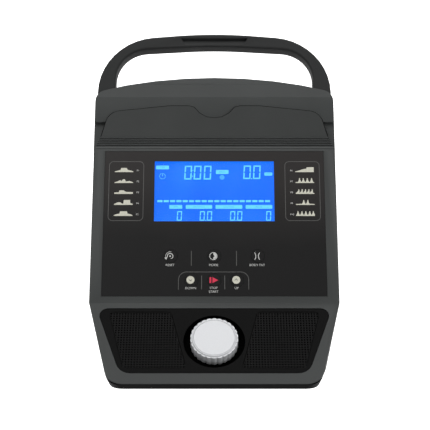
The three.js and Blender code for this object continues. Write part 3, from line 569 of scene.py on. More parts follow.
class Finish(Enum):
    """Every finish on the console."""

    GREY_SHELL = MouldedPlastic("grey_shell", (0.053, 0.057, 0.056), 0.52)
    REST = MouldedPlastic("rest", (0.040, 0.043, 0.042), 0.55, grain=900.0, relief=0.6)
    BLACK_SHELL = MouldedPlastic("black_shell", (0.0035, 0.0035, 0.0036), 0.45, gloss=0.06)
    HANDLE = MouldedPlastic("handle", (0.031, 0.032, 0.032), 0.65, gloss=0.15)
    PANEL = MouldedPlastic("panel", (0.0016, 0.0016, 0.0016), 0.55, relief=0.15, gloss=0.08)
    # Painted shade: a darker, duller copy of the panel's black for faces deep in the bowl.
    BOWL = MouldedPlastic("bowl", (0.0008, 0.0008, 0.0008), 0.8, relief=0.1, gloss=0.02)
    GRILLE = MouldedPlastic("grille", (0.005, 0.005, 0.005), 0.55, relief=0.1, gloss=0.1)
    CHIP = MouldedPlastic("chip", (0.02, 0.02, 0.02), 0.5)
    CONE = MouldedPlastic("cone", (0.001, 0.001, 0.001), 0.9, relief=0.1, gloss=0.05)
    BOARD = MouldedPlastic("board", (0.02, 0.12, 0.05), 0.4)
    WHITE = MouldedPlastic("white_moulding", (0.75, 0.75, 0.72), 0.5)
    RUBBER = MouldedPlastic("rubber", (0.012, 0.012, 0.012), 0.8, relief=0.1)
    LEAD = MouldedPlastic("lead", (0.012, 0.004, 0.004), 0.7, gloss=0.05)
    # Painted light on the tablet rest: lighter rib crests as painted highlight, darker grooves as painted
    # shade, and a dark painted shadow line round the back rest.
    RIB_CREST = MouldedPlastic("rib_crest", (0.062, 0.066, 0.065), 0.5)
    RIB_GROOVE = MouldedPlastic("rib_groove", (0.014, 0.015, 0.015), 0.7, gloss=0.05)
    REST_LINE = MouldedPlastic("rest_line", (0.006, 0.006, 0.006), 0.7, gloss=0.05)
    RIBBON = MouldedPlastic("ribbon", (0.5, 0.51, 0.52), 0.5)
    # The film, keys included, gets a painted reflection that lightens it towards the top.
    FILM = PrintedFilm("film", (0.0058, 0.0055, 0.0057), (0.0235, 0.0205, 0.0198))
    SCREEN = LitScreen("screen", (0.003, 0.14, 0.96), (0.012, 0.195, 1.0), 1.0)
    FIGURES = PrintInk("figures", (0.10, 0.50, 0.98), 0.85)
    CAPTION = PrintInk("screen_caption", (0.05, 0.33, 0.85), 0.7)
    LENS = ClearLens("lens")
    CREAM = PrintInk("cream_ink", (0.72, 0.71, 0.6))
    WHITE_INK = PrintInk("white_ink", (0.68, 0.68, 0.66))
    GREY_INK = PrintInk("grey_ink", (0.12, 0.12, 0.115))
    RED_INK = PrintInk("red_ink", (0.8, 0.035, 0.09))
    DARK_INK = PrintInk("dark_ink", (0.02, 0.02, 0.02))
    SILVER = CoatedSilver("silver", (0.74, 0.75, 0.77), 0.42, 0.1)
    STEEL = CoatedSilver("steel", (0.55, 0.56, 0.57), 0.35, 1.0)
    ZINC = CoatedSilver("zinc", (0.5, 0.5, 0.51), 0.42, 1.0)

    def material(self) -> bpy.types.Material:
        """Find this finish's material, or build it the first time."""
        return bpy.data.materials.get(f"{self.value.name}_finish") or self.value.material()

    def dress(self, piece: bpy.types.Object) -> None:
        """Give a piece this finish in all its slots.

        Args:
            piece: a new piece or a CAD node.
        """
        material = self.material()
        if not piece.data.materials:
            piece.data.materials.append(material)
        for index in range(len(piece.data.materials)):
            piece.data.materials[index] = material


def dress_nodes(finish: Finish, *names: str) -> None:
    """Dress CAD nodes that keep their own shape.

    Args:
        finish: the finish to use.
        names: the nodes' names.
    """
    for name in names:
        finish.dress(frame["nodes"][name])
        log.info("%s: dressed in %s", name, finish.value.name)


def install(
    piece: bpy.types.Object,
    finish: Finish,
    body: str = CONSOLE,
    instead_of: Sequence[str] = (),
) -> bpy.types.Object:
    """Dress a finished piece and tie it to the model.

    Args:
        piece: the piece, in place.
        finish: its finish.
        body: the body that it moves with.
        instead_of: CAD nodes that it stands for.

    Returns:
        The piece.
    """
    finish.dress(piece)
    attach(piece, body)
    if instead_of:
        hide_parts(*instead_of)
    log.info("%s: %d faces, on %s", piece.name, len(piece.data.polygons), body)
    return piece


def paint(
    piece: bpy.types.Object,
    choose: Callable[[Vector, Vector], Finish | None],
    *finishes: Finish,
) -> None:
    """Give some faces of a dressed piece other finishes.

    Args:
        piece: the dressed piece.
        choose: tells from a face's centre and normal which other finish it gets, if any.
        finishes: the other finishes, in the order of their slots.
    """
    for finish in finishes:
        piece.data.materials.append(finish.material())
    for polygon in piece.data.polygons:
        finish = choose(polygon.center, polygon.normal)
        if finish:
            polygon.material_index = 1 + finishes.index(finish)


# ---- Printing -----------------------------------------------------------------------------------
def arc(radius: float, start: float, end: float, steps: int = 16, x: float = 0, y: float = 0) -> Loop:
    """Find points along an arc, with angles in degrees."""
    angles = [math.radians(start + (end - start) * k / steps) for k in range(steps + 1)]
    return [(x + radius * math.cos(a), y + radius * math.sin(a)) for a in angles]


def band(radius: float, width: float, start: float, end: float, x: float = 0, y: float = 0) -> Loop:
    """Outline a curved stroke.

    Args:
        radius: radius of the stroke's middle.
        width: its width.
        start: its first angle, in degrees.
        end: its last angle, in degrees.
        x: its centre across.
        y: its centre up.

    Returns:
        The closed outline.
    """
    outer = arc(radius + width / 2, start, end, 20, x, y)
    inner = arc(radius - width / 2, end, start, 20, x, y)
    return outer + inner


def block(left: float, bottom: float, right: float, top: float, corner: float = 0.0) -> Loop:
    """Outline of a rectangle, with rounded corners if a radius is given.

    Args:
        left: its left side.
        bottom: its lower side.
        right: its right side.
        top: its upper side.
        corner: corner radius.

    Returns:
        The closed outline.
    """
    if not corner:
        return [(left, bottom), (right, bottom), (right, top), (left, top)]
    centres = [
        (right - corner, top - corner, 0),
        (left + corner, top - corner, 90),
        (left + corner, bottom + corner, 180),
        (right - corner, bottom + corner, 270),
    ]
    return [p for x, y, turn in centres for p in arc(corner, turn, turn + 90, 6, x, y)]


@dataclass
class PrintSheet:
    """Flat shapes and words laid on a face in one ink."""

    name: str
    face: Face
    lift: float
    finish: Finish
    slot: str
    body: str = CONSOLE
    thickness: float = 0.03
    loops: list[Loop] = field(default_factory=list)
    words: list[tuple[str, float, float, float]] = field(default_factory=list)

    def shape(self, *outlines: Loop) -> None:
        """Add closed outlines; an outline inside another makes a hole."""
        self.loops.extend(outlines)

    def ring(self, x: float, y: float, radius: float, width: float) -> None:
        """Add a round ring about x, y."""
        self.shape(arc(radius + width / 2, 0, 352, 44, x, y), arc(radius - width / 2, 0, 352, 44, x, y))

    def frame(self, outline: tuple[float, float, float, float], corner: float, width: float) -> None:
        """Add the outline of a rounded box.

        Args:
            outline: left, bottom, right and top.
            corner: corner radius.
            width: width of the line.
        """
        left, bottom, right, top = outline
        self.shape(block(left, bottom, right, top, corner))
        w = width
        self.shape(block(left + w, bottom + w, right - w, top - w, corner - w))

    def word(self, text: str, x: float, y: float, height: float) -> None:
        """Add a word centred on x, y with capitals of a given height."""
        self.words.append((text, x, y, height))

    def outline_mesh(self) -> bpy.types.Object:
        """Turn the outlines into one thin mesh.

        Returns:
            The mesh object, drawn about the origin.
        """
        curve = bpy.data.curves.new(self.name, "CURVE")
        curve.dimensions = "2D"
        curve.fill_mode = "BOTH"
        curve.extrude = self.thickness * MM / 2
        for loop in self.loops:
            spline = curve.splines.new("POLY")
            spline.points.add(len(loop) - 1)
            for point, (x, y) in zip(spline.points, loop):
                point.co = (x * MM, y * MM, 0, 1)
            spline.use_cyclic_u = True
        drawn = bpy.data.objects.new(self.name, curve)
        bpy.context.scene.collection.objects.link(drawn)
        take(drawn)
        bpy.ops.object.convert(target="MESH")
        return drawn

    def _word(self, text: str, x: float, y: float, height: float) -> bpy.types.Object:
        """Turn one word into a thin mesh.

        Args:
            text: the word.
            x: its middle across.
            y: its middle up.
            height: height of its capitals.

        Returns:
            The mesh object.
        """
        deselect_all()
        bpy.ops.object.text_add(location=(x * MM, y * MM, 0))
        written = bpy.context.object
        written.data.body = text
        written.data.align_x = "CENTER"
        written.data.align_y = "CENTER"
        written.data.size = height * MM / CAPITAL_SHARE
        written.data.resolution_u = 3
        written.data.extrude = self.thickness * MM / 2
        bpy.ops.object.convert(target="MESH")
        bpy.ops.object.transform_apply(location=True, rotation=True, scale=True)
        return written

    def build(self) -> bpy.types.Object:
        """Make the printing, lay it on its face and tie it to its body.

        Returns:
            The finished printing.
        """
        parts = [self.outline_mesh()] if self.loops else []
        parts += [self._word(*word) for word in self.words]
        piece = join(self.name, parts)
        with edit_mode(piece):
            bpy.ops.mesh.select_all(action="SELECT")
            bpy.ops.mesh.remove_doubles(threshold=0.001 * MM)
            bpy.ops.mesh.normals_make_consistent(inside=False)
        settle(piece, self.face.place(0, 0, self.lift))
        return install(piece, self.finish, self.body)


# ---- Housing ------------------------------------------------------------------------------------
@dataclass
class Housing:
    """Front and rear shells and the tablet rest."""

    half_width: float = 121.8
    face_top: float = 158.5
    foot_level: float = -60.0
    ledge_top: float = 175.0
    # width of the chamfer round the back rest that carries the painted shadow line
    rest_line: float = 0.8
    outer_round: float = 1.6
    foot_round: float = 0.8
    crown_round: float = 7.0
    back_round: float = 2.5
    back_shelf: float = 152.0  # height of the back's upper bend
    back_foot: float = -22.0  # height of its lower bend
    back_flank: float = -55.5  # depth behind which a side edge belongs to the back
    back_bend: float = -39.0  # the same for its bends
    rim_depth: float = -15.5  # depth in front of which a side edge is rounded
    rim_top: float = 90.0  # above the control face's top
    crown_band: tuple[float, float] = (50.0, 80.0)  # the crown's bends, above the face's top
    crown_depth: tuple[float, float] = (-13.2, -10.0)
    outline_foot: float = -89.8
    outline_slope: float = 0.256
    outline_margin: float = 6.5
    rest_front: float = -8.5
    # how squarely faces look out, to choose the ribs' painted highlight and shade and the painted shadow
    # line
    crest_facing: float = 0.8
    groove_facing: float = 0.02
    shadow_line_facing: tuple[float, float] = (0.2, 0.95)

    def build(self) -> None:
        """Build and dress the shells and the rest."""
        self.front()
        self.rear()
        self.rest()

    def _is_rim(self, middle: Vector) -> bool:
        """Tell whether an edge's middle lies on the front shell's outer rim.

        Args:
            middle: the middle of an edge, in metres.

        Returns:
            True if it does.
        """
        at = CONTROL.read(middle)
        low = LOWER.read(middle)
        on_side = abs(at.x) > self.half_width - 0.4 and -1 < at.y < self.face_top + self.rim_top
        at_fold = abs(at.y) < 0.3 and abs(at.z) < 0.3
        beside_panel = self._is_outline(low) and low.y > self.foot_level
        return (on_side and at.z > self.rim_depth) or beside_panel or at_fold

    def _is_outline(self, low: Vector) -> bool:
        """Tell whether a point, read on the lower face, lies on that face's outline.

        Args:
            low: the point, as LOWER reads it.

        Returns:
            True if it does.
        """
        on_face = low.z > -0.2 and low.y < 0.5
        beside = abs(low.x) > self.half_width + self.outline_slope * low.y - self.outline_margin
        return on_face and (low.y < self.outline_foot or beside)

    def _is_foot(self, middle: Vector) -> bool:
        """Tell whether an edge's middle lies on the lower face's foot or low corners."""
        low = LOWER.read(middle)
        return self._is_outline(low) and low.y <= self.foot_level

    def _is_bend(self, middle: Vector) -> bool:
        """Tell whether an edge's middle lies on a bend of the back plate's crown.

        Args:
            middle: the middle of an edge, in metres.

        Returns:
            True if it does.
        """
        at = CONTROL.read(middle)
        in_band = self.crown_band[0] < at.y - self.face_top < self.crown_band[1]
        in_depth = self.crown_depth[0] < at.z < self.crown_depth[1]
        return in_band and in_depth and abs(at.x) < self.half_width

    def front(self) -> None:
        """Front shell with rounded outer edges."""
        shell = copy_of_node("front_housing", "front_shell")
        round_edges(shell, self.crown_round, 4, angle=5, where=self._is_bend)
        round_edges(shell, self.outer_round, 3, where=self._is_rim)
        round_edges(shell, self.foot_round, 3, where=self._is_foot)
        smooth(shell, 32)
        install(shell, Finish.GREY_SHELL, instead_of=["front_housing"])

    def rear(self) -> None:
        """Rear shell with rounded bends and outer edges."""
        shell = copy_of_node("rear_cover", "rear_shell")
        round_edges(shell, self.back_round, 3, angle=12, where=self._is_back_edge)
        smooth(shell, 32)
        install(shell, Finish.BLACK_SHELL, instead_of=["rear_cover"])

    def _is_back_edge(self, middle: Vector) -> bool:
        """Tell whether an edge's middle lies on a bend or an outer edge of the rear shell.

        Args:
            middle: the middle of an edge, in metres.

        Returns:
            True if it does.
        """
        at = CONTROL.read(middle)
        at_bend = min(abs(at.y - self.back_shelf), abs(at.y - self.back_foot)) < 0.5
        at_side = abs(at.x) > self.half_width - 1 and at.z < self.back_flank
        between = self.back_foot + 1 < at.y < self.back_shelf - 1
        return (at_bend and at.z < self.back_bend) or (at_side and between)

    def rest(self) -> None:
        """Tablet rest with a painted shadow line round its back rest, painted highlights on its ribs'
        crests and painted shade in their grooves.
        """
        rest = copy_of_node("tablet_rest", "tablet_back_rest")
        # A narrow chamfer round the back rest carries the painted shadow line.
        round_edges(rest, self.rest_line, 1, angle=40, where=self._is_rest_outline)
        smooth(rest, 30)
        install(rest, Finish.REST, instead_of=["tablet_rest"])
        # Painted highlight on the ribs' crests, painted shade in their grooves and a painted shadow line
        # round the back rest.
        paint(rest, self._rest_finish, Finish.RIB_CREST, Finish.REST_LINE, Finish.RIB_GROOVE)

    def _rest_finish(self, centre: Vector, normal: Vector) -> Finish | None:
        """Choose the painted highlight of the ribs' crests, the painted shade of their grooves and the
        painted shadow line round the back rest's outline.

        Args:
            centre: a face's centre.
            normal: its normal.

        Returns:
            The finish, or None where the rest keeps its own.
        """
        facing = normal.dot(CONTROL.out)
        if CONTROL.read(centre).y >= self.ledge_top:
            return Finish.REST_LINE if self.shadow_line_facing[0] < facing < self.shadow_line_facing[1] else None
        if facing > self.crest_facing:
            return Finish.RIB_CREST
        return Finish.RIB_GROOVE if facing > self.groove_facing else None

    def _is_rest_outline(self, middle: Vector) -> bool:
        """Tell whether an edge's middle lies on the front outline of the tablet's back rest."""
        at = CONTROL.read(middle)
        return at.y > self.ledge_top + 1 and at.z > self.rest_front


@dataclass
class GrabHandle:
    """Grab handle above the housing."""

    easing: float = 0.4

    def build(self) -> None:
        """Build and dress the handle's two halves."""
        grip = copy_of_node("handle_front", "grip_front")
        smooth(grip, 60)
        install(grip, Finish.HANDLE, instead_of=["handle_front"])
        cover = copy_of_node("handle_back", "grip_back")
        round_edges(cover, self.easing, 2, angle=50)
        smooth(cover, 42)
        install(cover, Finish.HANDLE, instead_of=["handle_back"])


# ---- Control face -------------------------------------------------------------------------------
@dataclass
class ProgrammeChart:
    """One small workout profile: a filled outline over a base line."""

    steps: Sequence[tuple[float, float]]

    def outline(self, left: float, base: float, width: float) -> Loop:
        """Closed outline of the profile."""
        top = [(left + width * x, base + y) for x, y in reversed(self.steps)]
        return [(left, base - 0.5), (left + width, base - 0.5), *top]


def peaks(centres: Sequence[float], height: float, lean: float = 0.0) -> list[tuple[float, float]]:
    """Profile of narrow peaks.

    Args:
        centres: where the peaks stand, as shares of the width.
        height: their height.
        lean: how far the tips lean right, as a share of the width.

    Returns:
        The profile's steps.
    """
    steps = [(0.0, 0.4)]
    for c in centres:
        foot, tip = 0.085, 0.022
        steps += [(c - foot, 0.7), (c - tip - 0.015 + lean, height * 0.62), (c - tip + lean, height)]
        steps += [(c + tip + lean, height), (c + tip + 0.015 + lean, height * 0.62), (c + foot, 0.7)]
    return [*steps, (1.0, 0.4)]


@dataclass
class ControlFace:
    """Printed film with the programme charts and the keys' captions."""

    shift: float = -0.7
    chart_left: float = -100.0
    chart_width: float = 18.6
    chart_top: float = 134.3
    chart_pitch: float = 11.45
    lift: float = -0.08
    box: tuple[float, float, float, float] = (70.7, 82.9, 105.8, 145.2)

    def charts(self) -> list[ProgrammeChart]:
        """List the ten workout profiles.

        Returns:
            The profiles, in order.
        """
        rise = [(0, 0.3), (0.14, 0.9)]
        wave = [(0.6, 1.0), (0.8, 1.6), (1, 0.3)]
        late_block = [(0.52, 4.6), (0.86, 4.6), (0.88, 1.2), (1, 0.8)]
        shapes = [
            [*rise, (0.3, 1.7), (0.34, 3.9), (0.64, 3.9), (0.7, 1.9), (0.86, 1.2), (1, 0.3)],
            [(0, 0.3), (0.18, 1.2), (0.3, 2.6), (0.38, 1.5), (0.45, 3.4), (0.56, 3.4), *wave],
            [(0, 1.0), (0.24, 1.2), (0.28, 3.2), (0.5, 3.2), (0.62, 1.6), (1, 1.4)],
            [(0, 0.4), (0.2, 2.2), (0.34, 2.2), (0.42, 0.9), (0.5, 0.9), *late_block],
            [(0, 0.3), (0.12, 1.2), (0.3, 1.9), (0.34, 4.3), (0.7, 4.3), (0.74, 2.0), (0.9, 1.2), (1, 0.3)],
            [(0, 0.2), (0.2, 1.2), (0.38, 2.4), (0.6, 3.2), (0.62, 4.6), (0.95, 4.8), (1, 4.6)],
            peaks([0.22, 0.42, 0.64, 0.87], 4.6),
            peaks([0.12, 0.3, 0.48, 0.66, 0.84], 4.4, 0.05),
            peaks([0.42, 0.64], 4.6),
            peaks([0.1, 0.31, 0.52, 0.73, 0.92], 4.4),
        ]
        return [ProgrammeChart(steps) for steps in shapes]

    def build(self) -> None:
        """Dress the film and print on it."""
        dress_nodes(Finish.FILM, "control_overlay")
        self.print_charts()
        self.print_lines()
        self.print_captions()

    def print_charts(self) -> None:
        """Print the workout profiles and their numbers."""
        charts = PrintSheet("programme_charts", CONTROL, self.lift, Finish.CREAM, "overlay")
        numbers = PrintSheet("programme_numbers", CONTROL, self.lift, Finish.WHITE_INK, "overlay")
        for index, chart in enumerate(self.charts()):
            row, right = index % 5, index >= 5
            base = self.chart_top - row * self.chart_pitch
            left = -self.chart_left - self.chart_width if right else self.chart_left
            charts.shape(chart.outline(left, base, self.chart_width))
            numbers.word(f"P{index + 1}", 77.4 if right else -76.6, base + 1.0, 1.8)
        charts.build()
        numbers.build()

    def print_lines(self) -> None:
        """Print the thin frames and dividers."""
        lines = PrintSheet("divider_lines", CONTROL, self.lift, Finish.GREY_INK, "overlay")
        left, bottom, right, top = self.box
        lines.frame((left, bottom, right, top), 4.6, 0.5)
        lines.frame((-right, bottom, -left, top), 4.6, 0.5)
        for x in (-22.6, 21.8):
            lines.shape(block(x - 0.3, 37.2, x + 0.3, 52.2))
        for x in (-12.4, 10.2):
            lines.shape(block(x - 0.3, 13.6, x + 0.3, 27.2))
        half, foot, crest, corner, width = 34.6, 13.4, 31.2, 8.0, 0.55
        outer = [(half, foot), *arc(corner, 0, 90, 8, half - corner, crest - corner)]
        outer += [*arc(corner, 90, 180, 8, corner - half, crest - corner), (-half, foot)]
        inner = [(-half + width, foot), *arc(corner - width, 180, 90, 8, corner - half, crest - corner)]
        inner += [*arc(corner - width, 90, 0, 8, half - corner, crest - corner), (half - width, foot)]
        lines.shape([(x + self.shift, y) for x, y in outer + inner])
        lines.build()

    def print_captions(self) -> None:
        """Print the words under the keys."""
        words = PrintSheet("key_captions", CONTROL, self.lift, Finish.WHITE_INK, "overlay")
        for text, x, y in (
            ("RESET", -42.8, 37.8),
            ("MODE", 0, 37.8),
            ("BODY FAT", 42.8, 37.8),
            ("DOWN", -22.4, 14.7),
            ("STOP", 0, 14.9),
            ("START", 0, 11.2),
            ("UP", 22.4, 14.7),
        ):
            words.word(text, x + self.shift, y, 2.25)
        words.build()


@dataclass
class KeySet:
    """The six keys with their printed signs."""

    proud: float = 0.21

    def build(self) -> None:
        """Dress the keys and print their signs."""
        dress_nodes(Finish.FILM, *(f"key_{name}" for name in KEYS))
        self.reset_sign()
        self.mode_sign()
        self.body_fat_sign()
        self.arrow_sign("down", -23.3, -1)
        self.arrow_sign("up", 21.5, 1)
        self.start_stop_sign()

    def _sheet(self, key: str, finish: Finish, over: float = 0.0, part: str = "sign") -> PrintSheet:
        """Start a sign on one key."""
        lift = self.proud + over
        return PrintSheet(f"{key}_{part}", CONTROL, lift, finish, "key_print", f"{key}_key")

    def reset_sign(self, x: float = -43.4, y: float = 46.8) -> None:
        """Target with an arrow turning back.

        Args:
            x: its centre across.
            y: its centre up.
        """
        sign = self._sheet("reset", Finish.WHITE_INK)
        sign.shape(arc(0.85, 0, 352, 24, x, y))
        sign.ring(x, y, 2.75, 0.75)
        sign.shape(band(4.4, 0.5, 75, 195, x, y))
        tip_x, tip_y = x - 4.1, y - 1.6
        sign.shape([(tip_x - 1.7, tip_y + 0.2), (tip_x + 0.2, tip_y - 2.2), (tip_x + 1.3, tip_y + 0.6)])
        sign.build()

    def mode_sign(self, x: float = -0.9, y: float = 46.8) -> None:
        """Ring with one half filled.

        Args:
            x: its centre across.
            y: its centre up.
        """
        sign = self._sheet("mode", Finish.WHITE_INK)
        sign.ring(x, y, 3.6, 0.65)
        half = arc(3.1, -90, 90, 20, x, y)
        bite = [(x + 0.1, y + 1.2), (x + 1.3, y), (x + 0.1, y - 1.2)]
        sign.shape(half + bite)
        sign.build()

    def body_fat_sign(self, x: float = 42.1, y: float = 46.8) -> None:
        """Two strokes that curve towards each other.

        Args:
            x: its centre across.
            y: its centre up.
        """
        sign = self._sheet("body_fat", Finish.WHITE_INK)
        sign.shape(band(6.0, 0.75, -36, 36, x - 7.3, y))
        sign.shape(band(6.0, 0.75, 144, 216, x + 7.3, y))
        sign.build()

    def arrow_sign(self, key: str, x: float, way: int, y: float = 22.9) -> None:
        """Cream disc with a small arrow on it.

        Args:
            key: the key's name.
            x: its place across.
            way: 1 for up, -1 for down.
            y: its place up the face.
        """
        disc = self._sheet(key, Finish.CREAM)
        disc.shape(arc(3.9, 0, 352, 44, x, y))
        disc.build()
        arrow = self._sheet(key, Finish.DARK_INK, 0.03, "arrow")
        w, h, t = 1.35, 0.7 * way, 0.6 * way
        near = [(x - w, y - h), (x, y + h), (x + w, y - h)]
        arrow.shape(near + [(across, up + t) for across, up in reversed(near)])
        arrow.build()

    def start_stop_sign(self, x: float = -0.8, y: float = 22.7) -> None:
        """Red bar and triangle.

        Args:
            x: its centre across.
            y: its centre up.
        """
        sign = self._sheet("start_stop", Finish.RED_INK)
        sign.shape(block(x - 3.9, y - 2.9, x - 2.1, y + 2.9))
        sign.shape([(x - 1.0, y - 3.0), (x + 4.7, y), (x - 1.0, y + 3.0)])
        sign.build()


# ---- Display ------------------------------------------------------------------------------------
@dataclass
class Figure:
    """A seven-segment zero."""

    left: float
    bottom: float
    width: float
    height: float
    stroke: float

    def outlines(self, slant: float = 0.05) -> list[Loop]:
        """Outlines of the lit segments.

        Args:
            slant: how far the top leans right, as a share of the height.

        Returns:
            One outline for each segment.
        """
        s, w, h = self.stroke, self.width, self.height
        gap = 0.12
        half = h / 2
        parts = [
            [(gap, h), (w - gap, h), (w - s - gap, h - s), (s + gap, h - s)],
            [(gap, 0), (s + gap, s), (w - s - gap, s), (w - gap, 0)],
        ]
        for low, high in ((0.0, half), (half, h)):
            lower_in = low + (s if low == 0 else s / 2) + gap
            upper_in = high - (s if high == h else s / 2) - gap
            parts.append([(0, low + gap), (s, lower_in), (s, upper_in), (0, high - gap)])
            parts.append([(w, low + gap), (w, high - gap), (w - s, upper_in), (w - s, lower_in)])
        return [[(self.left + x + slant * y, self.bottom + y) for x, y in part] for part in parts]


@dataclass
class Display:
    """Lens, lit screen and its figures."""

    depth: float = -3.085

    def build(self) -> None:
        """Dress the lens and the screen and light the figures."""
        dress_nodes(Finish.LENS, "screen_lens")
        dress_nodes(Finish.SCREEN, "screen_glass")
        dress_nodes(Finish.WHITE, "screen_backlight", "screen_frame")
        self.figures()
        self.captions()

    def figures(self) -> None:
        """Lit digits, bars and pills."""
        lit = PrintSheet("screen_figures", CONTROL, self.depth, Finish.FIGURES, "screen", thickness=0.04)
        for left in (-30.4, -20.9, -10.8):
            lit.shape(*Figure(left, 126.9, 7.4, 14.6, 1.4).outlines())
        for left in (29.0, 38.8):
            lit.shape(*Figure(left, 127.4, 7.4, 14.4, 1.4).outlines())
        for left in (-37.5, -14.7, -7.5, 15.5, 22.6, 51.4):
            lit.shape(*Figure(left, 83.9, 5.0, 9.9, 1.1).outlines())
        for x, y, r in (
            (-21.8, 130.4, 0.5),
            (-21.6, 136.6, 0.5),
            (37.6, 127.8, 0.6),
            (-8.6, 84.2, 0.5),
            (21.6, 84.2, 0.5),
        ):
            lit.shape(arc(r, 0, 330, 11, x, y))
        for outline in (
            (-58.8, 137.7, -45.7, 141.7),
            (1.6, 132.7, 14.4, 137.1),
            (50.4, 131.0, 58.4, 134.4),
            (-45.0, 96.2, -32.0, 100.2),
            (-28.5, 96.2, -2.1, 100.2),
            (1.2, 96.2, 28.0, 100.2),
            (31.3, 96.2, 57.9, 100.2),
        ):
            lit.shape(block(*outline, 0.9))
        for index in range(18):
            left = -57.0 + index * 6.33
            lit.shape(block(left, 103.1, left + 5.2, 105.3, 0.5))
        for k in range(12):
            lit.shape(band(2.9, 0.55, 30 * k, 30 * k + 18, -52.2, 130.4))
        lit.shape(block(-52.4, 130.4, -51.9, 132.6))
        lit.build()

    def captions(self) -> None:
        """Dim words on the lit pills, and the small round sign."""
        lift = self.depth + 0.04
        dim = PrintSheet("screen_captions", CONTROL, lift, Finish.CAPTION, "screen", thickness=0.03)
        for text, x, y in (
            ("TIME", -52.3, 139.7),
            ("SPEED", 8.0, 134.9),
            ("KM/H", 54.4, 132.7),
            ("RPM", -38.5, 98.2),
            ("DISTANCE", -15.3, 98.2),
            ("CALORIES", 14.6, 98.2),
            ("PULSE", 44.6, 98.2),
        ):
            dim.word(text, x, y, 1.7)
        dim.shape(arc(2.5, 0, 352, 32, 7.8, 129.2))
        dim.build()


# ---- Lower face ---------------------------------------------------------------------------------
@dataclass
class SpeakerPanel:
    """Black panel with its grilles and the speakers behind them."""

    pitch: float = 2.72
    web: float = 1.15
    plate: float = 1.2
    sink: float = 1.1
    rim: float = 0.45
    top: float = 10.5
    bottom: float = 73.6
    inner_top: float = 42.0
    inner_bottom: float = 26.3
    outer_top: float = 101.5
    outer_bottom: float = 84.7
    # depth beyond which the bowl's faces get painted shade
    painted_shade_depth: float = 1.0

    def build(self) -> None:
        """Build the panel and the grilles and dress the speakers."""
        panel = copy_of_node("speaker_panel", "speaker_fascia")
        round_edges(panel, 0.5, 2, angle=40, where=lambda middle: LOWER.read(middle).z > -1.0)
        smooth(panel, 34)
        install(panel, Finish.PANEL, instead_of=["speaker_panel"])
        # Faces deep in the bowl get a darker, duller material as painted shade.
        paint(panel, self._bowl_finish, Finish.BOWL)
        for side, hand in ((-1, "left"), (1, "right")):
            self.grille(side, hand)
            dress_nodes(Finish.CONE, f"speaker_basket_{hand}")
            dress_nodes(Finish.CONE, f"speaker_cone_{hand}")
            dress_nodes(Finish.ZINC, f"speaker_magnet_{hand}")

    def _bowl_finish(self, centre: Vector, _normal: Vector) -> Finish | None:
        """Choose a darker, duller material as painted shade for faces deep in the bowl."""
        return Finish.BOWL if LOWER.read(centre).z < -self.painted_shade_depth else None

    def _corners(self, side: int, inset: float = 0.0) -> list[Vector]:
        """Corners of one grille, anticlockwise, in face millimetres.

        Args:
            side: 1 for the right, -1 for the left.
            inset: how far inside the outline, in millimetres.

        Returns:
            The four corners.
        """
        i = inset
        right = [
            Vector((self.inner_bottom + i, -self.bottom + i)),
            Vector((self.outer_bottom - i, -self.bottom + i)),
            Vector((self.outer_top - i, -self.top - i)),
            Vector((self.inner_top + i, -self.top - i)),
        ]
        if side > 0:
            return right
        return [Vector((-p.x, p.y)) for p in reversed(right)]

    def _mesh_of_holes(self, side: int) -> bpy.types.Object:
        """Square-holed sheet cut to the grille's slanted outline.

        Args:
            side: 1 for the right, -1 for the left.

        Returns:
            The sheet, drawn about the fold.
        """
        middle_x = side * (self.inner_bottom + self.outer_top) / 2
        middle_y = -(self.top + self.bottom) / 2
        across = math.ceil((self.outer_top - self.inner_bottom) / self.pitch) + 1
        up = math.ceil((self.bottom - self.top) / self.pitch) + 1
        deselect_all()
        bpy.ops.mesh.primitive_grid_add(x_subdivisions=across, y_subdivisions=up, size=1)
        sheet = bpy.context.object
        sheet.scale = (across * self.pitch * MM, up * self.pitch * MM, 1)
        sheet.location = (middle_x * MM, middle_y * MM, 0)
        bpy.ops.object.transform_apply(location=True, rotation=True, scale=True)
        corners = self._corners(side, self.rim * 0.6)
        with edit_mode(sheet):
            bpy.ops.mesh.select_mode(type="FACE")
            bpy.ops.mesh.select_all(action="SELECT")
            bpy.ops.mesh.inset(thickness=self.web * MM / 2, depth=0, use_individual=True)
            bpy.ops.mesh.delete(type="FACE")
            for start, end in zip(corners, corners[1:] + corners[:1]):
                outward = Vector((end.y - start.y, start.x - end.x, 0)).normalized()
                bpy.ops.mesh.select_all(action="SELECT")
                bpy.ops.mesh.bisect(
                    plane_co=(start.x * MM, start.y * MM, 0),
                    plane_no=outward,
                    clear_outer=True,
                )
            bpy.ops.mesh.select_all(action="SELECT")
            bpy.ops.mesh.extrude_region_move(
                TRANSFORM_OT_translate={"value": (0, 0, -self.plate * MM)}
            )
            bpy.ops.mesh.select_all(action="SELECT")
            bpy.ops.mesh.normals_make_consistent(inside=False)
        return sheet

    def _rim(self, side: int) -> bpy.types.Object:
        """Solid border round the holes.

        Args:
            side: 1 for the right, -1 for the left.

        Returns:
            The border, drawn about the fold.
        """
        drawing = PrintSheet("rim", LOWER, 0, Finish.GRILLE, "grille", thickness=self.plate + 0.3)
        for inset in (0.0, self.rim):
            corners = self._corners(side, inset)
            drawing.shape([(p.x, p.y) for p in corners])
        rim = drawing.outline_mesh()
        settle(rim, Matrix.Translation((0, 0, -self.plate * MM / 2)))
        return rim

    def grille(self, side: int, hand: str) -> None:
        """Build one grille.

        Args:
            side: 1 for the right, -1 for the left.
            hand: the side's name.
        """
        piece = join(f"grille_mesh_{hand}", [self._mesh_of_holes(side), self._rim(side)])
        settle(piece, LOWER.place(0, 0, -self.sink))
        install(piece, Finish.GRILLE, instead_of=[f"grille_{hand}"])


